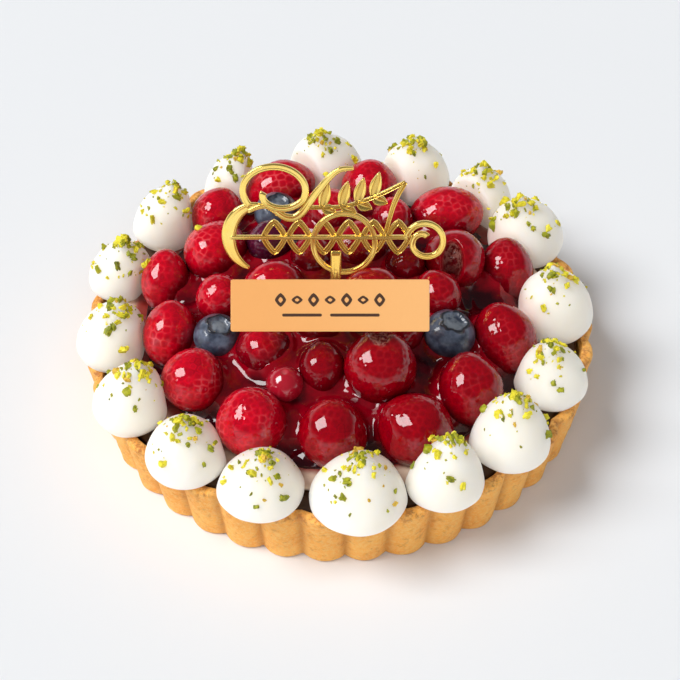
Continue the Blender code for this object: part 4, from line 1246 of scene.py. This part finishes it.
def bend(knots, steps):
    """Smooth curve through knots: on each stretch a cubic that leaves along the line of its neighbours."""
    knots = np.array(knots, float)
    padded = np.concatenate([knots[:1], knots, knots[-1:]])
    before, start, end, after = padded[:-3], padded[1:-2], padded[2:-1], padded[3:]
    t = np.linspace(0.0, 1.0, steps, endpoint=False)[:, None]
    curve = 0.5 * (2 * start[:, None] + (end - before)[:, None] * t
                   + (2 * before - 5 * start + 4 * end - after)[:, None] * t ** 2
                   + (3 * start - before - 3 * end + after)[:, None] * t ** 3)
    return np.concatenate([curve.reshape(-1, 2), knots[-1:]])


def ribbon(name, path, widths, closed=False, depth=1.0, profile=STROKE_SECTION):
    """Carry a profile along a path in the pick's plane. Widths are half-widths in millimetres."""
    path = np.asarray(path, float) * MM
    widths = np.broadcast_to(np.asarray(widths, float), (len(path),)) * MM
    if closed:
        along = np.roll(path, -1, axis=0) - np.roll(path, 1, axis=0)
    else:
        along = np.gradient(path, axis=0)
    along /= np.linalg.norm(along, axis=1, keepdims=True)
    across = np.stack([along[:, 1], -along[:, 0]], axis=-1)
    side = profile[:, 0][None, :, None] * widths[:, None, None] * across[:, None, :]
    out = np.broadcast_to(profile[:, 1] * PICK_DEPTH * depth, (len(path), len(profile)))
    if not closed:
        ends = np.minimum(np.arange(len(path)), np.arange(len(path))[::-1])
        out = out * np.clip(0.55 + 0.25 * ends, 0.0, 1.0)[:, None]
    flat = path[:, None, :] + side
    grid = np.concatenate([flat, out[..., None]], axis=-1) @ PICK_AXES + PICK_FOOT
    values = {
        "recess": np.broadcast_to(profile[:, 2], grid.shape[:2]),
        "climb": np.broadcast_to(flat[..., 1] / MM, grid.shape[:2])}
    poles = (None, None) if closed else (grid[0].mean(axis=0), grid[-1].mean(axis=0))
    return surface(name, grid, *poles, values=values, loop_rows=closed)


def band(name, path, widths, depth, closed=False):
    """A ribbon with the plain band's profile."""
    return ribbon(name, path, widths, closed, depth, BAND_SECTION)


def spiral(centre, radii, start, end, count, hold, inner):
    """An elliptical arc that keeps its size for a share of its run and then shrinks to an inner share."""
    share = np.linspace(0.0, 1.0, count)
    shrink = 1.0 - (1.0 - inner) * np.clip((share - hold) / (1.0 - hold), 0.0, 1.0)
    angle = np.radians(start + (end - start) * share)
    return np.stack([centre[0] + radii[0] * shrink * np.cos(angle),
                     centre[1] + radii[1] * shrink * np.sin(angle)], axis=-1)


def swelling(count, end, middle):
    """Half-widths that grow from the ends to the middle as a sine."""
    return end + (middle - end) * np.sin(math.pi * np.linspace(0.0, 1.0, count))


print("stroke section has", len(STROKE_SECTION), "points")

# %% Gold
gold_finish = Finish("gold", {"Metallic": 0.84, "Roughness": 0.14})
recess = gold_finish.attribute("recess")
tarnish = gold_finish.noise(300.0, 2.0)
upper = gold_finish.blend(tarnish, (1.0, 0.68, 0.13), (1.0, 0.77, 0.25))
# Painted reflection: more orange towards the foot of the pick, as if mirroring the tart below
gold = gold_finish.blend(gold_finish.attribute("climb").rise(20.0, 0.0) * 0.5, upper, (0.95, 0.48, 0.06))
# Painted shade: the sunk middles of the strokes are darker
gold = gold_finish.blend(recess.rise(0.2, 0.9) * 0.5, gold, (0.44, 0.22, 0.03))
gold_finish.set(Base_Color=gold)

# %% Pick strokes
# All in millimetres in the pick's plane, measured from PICK_FOOT
RAIL_HEIGHT = 14.7
LOZENGE_START = -19.5
LOZENGE_PITCH = 8.0
PICK_LOZENGES = 6
PICK_LOZENGE_HALF = (3.5, 5.2)
PICK_POWER = 1.22
SPRIG_KNOTS = ((-9.2, 24.8), (2.0, 25.0), (12.0, 28.0), (22.5, 33.2))
# Name, length and slant in degrees of the leaves above and below the sprig
LEAF_FORMS = (("upper", 8.75, 75), ("lower", 5.25, -20))
LEAF_PAIRS = 4
RISE_KNOTS = (
    (-28.0, 23.4), (-22.0, 25.2), (-15.5, 21.4), (-11.0, 22.5), (-5.5, 30.0), (0.5, 36.6), (6.0, 37.8))
rise = bend(RISE_KNOTS, 12)
tail = bend((SPRIG_KNOTS[-1], (19.0, 26.0), (16.0, RAIL_HEIGHT)), 14)
tail_widths = np.interp(np.linspace(0, 1, len(tail)), (0, 0.5, 1), (0.8, 0.85, 0.6))
rail = bend(((-34.0, RAIL_HEIGHT), (-5.0, RAIL_HEIGHT), (24.0, RAIL_HEIGHT)), 20)
strokes = [
    band("pick_crescent", arc((-24.5, 14.5), (9.7, 11.0), 84, 250, 60), swelling(60, 0.6, 2.35), 0.7),
    band("pick_loop", spiral((-19.3, 30.2), (10.0, 8.0), 222, -170, 120, 0.62, 0.34), 1.12, 0.95),
    band("pick_rise", rise, swelling(len(rise), 0.6, 1.3), 0.85),
    band("pick_curl", spiral((29.0, 13.3), (6.0, 6.0), 172, -300, 110, 0.45, 0.3), 1.05, 0.98),
    band("pick_ring", arc((3.0, 12.7), 10.0, 0, 360, 91)[:-1], 0.95, 1.02, closed=True),
    band("pick_rail", rail, 0.7, 1.1),
]
turn = full_turn(72)
reach = lozenge_reach(turn, PICK_LOZENGE_HALF, PICK_POWER)
for number in range(PICK_LOZENGES):
    lozenge = np.stack([
        LOZENGE_START + LOZENGE_PITCH * number + reach * np.cos(turn), RAIL_HEIGHT + reach * np.sin(turn)], axis=-1)
    strokes.append(ribbon(f"pick_lozenge_{number + 1}", lozenge, 0.95, closed=True, depth=0.9))
strokes.append(ribbon("pick_sprig", bend(SPRIG_KNOTS, 14), 0.65, depth=0.88))
strokes.append(ribbon("pick_tail", tail, tail_widths))
strokes.append(band("pick_stem", bend(((0.4, -21.5), (0.4, -6.0), (0.4, 10.0)), 20), 1.8, 1.1))
leaf_roots = bend(SPRIG_KNOTS, 2)[1:]
share = np.linspace(0.0, 1.0, 24)
leaf_widths = 0.15 + 1.75 * np.sin(math.pi * share ** 0.8) ** 0.9
for number in range(LEAF_PAIRS):
    for side, length, slant in LEAF_FORMS:
        tip = np.array((math.cos(math.radians(slant)), math.sin(math.radians(slant)))) * length
        leaf = leaf_roots[number] + share[:, None] * tip
        strokes.append(ribbon(f"pick_leaf_{side}_{number + 1}", leaf, leaf_widths, depth=0.7 + 0.04 * number))
for number, mesh in enumerate(strokes):
    add_piece(mesh, gold_finish, ["pick"] if number == 0 else ())
print(len(strokes), "strokes")
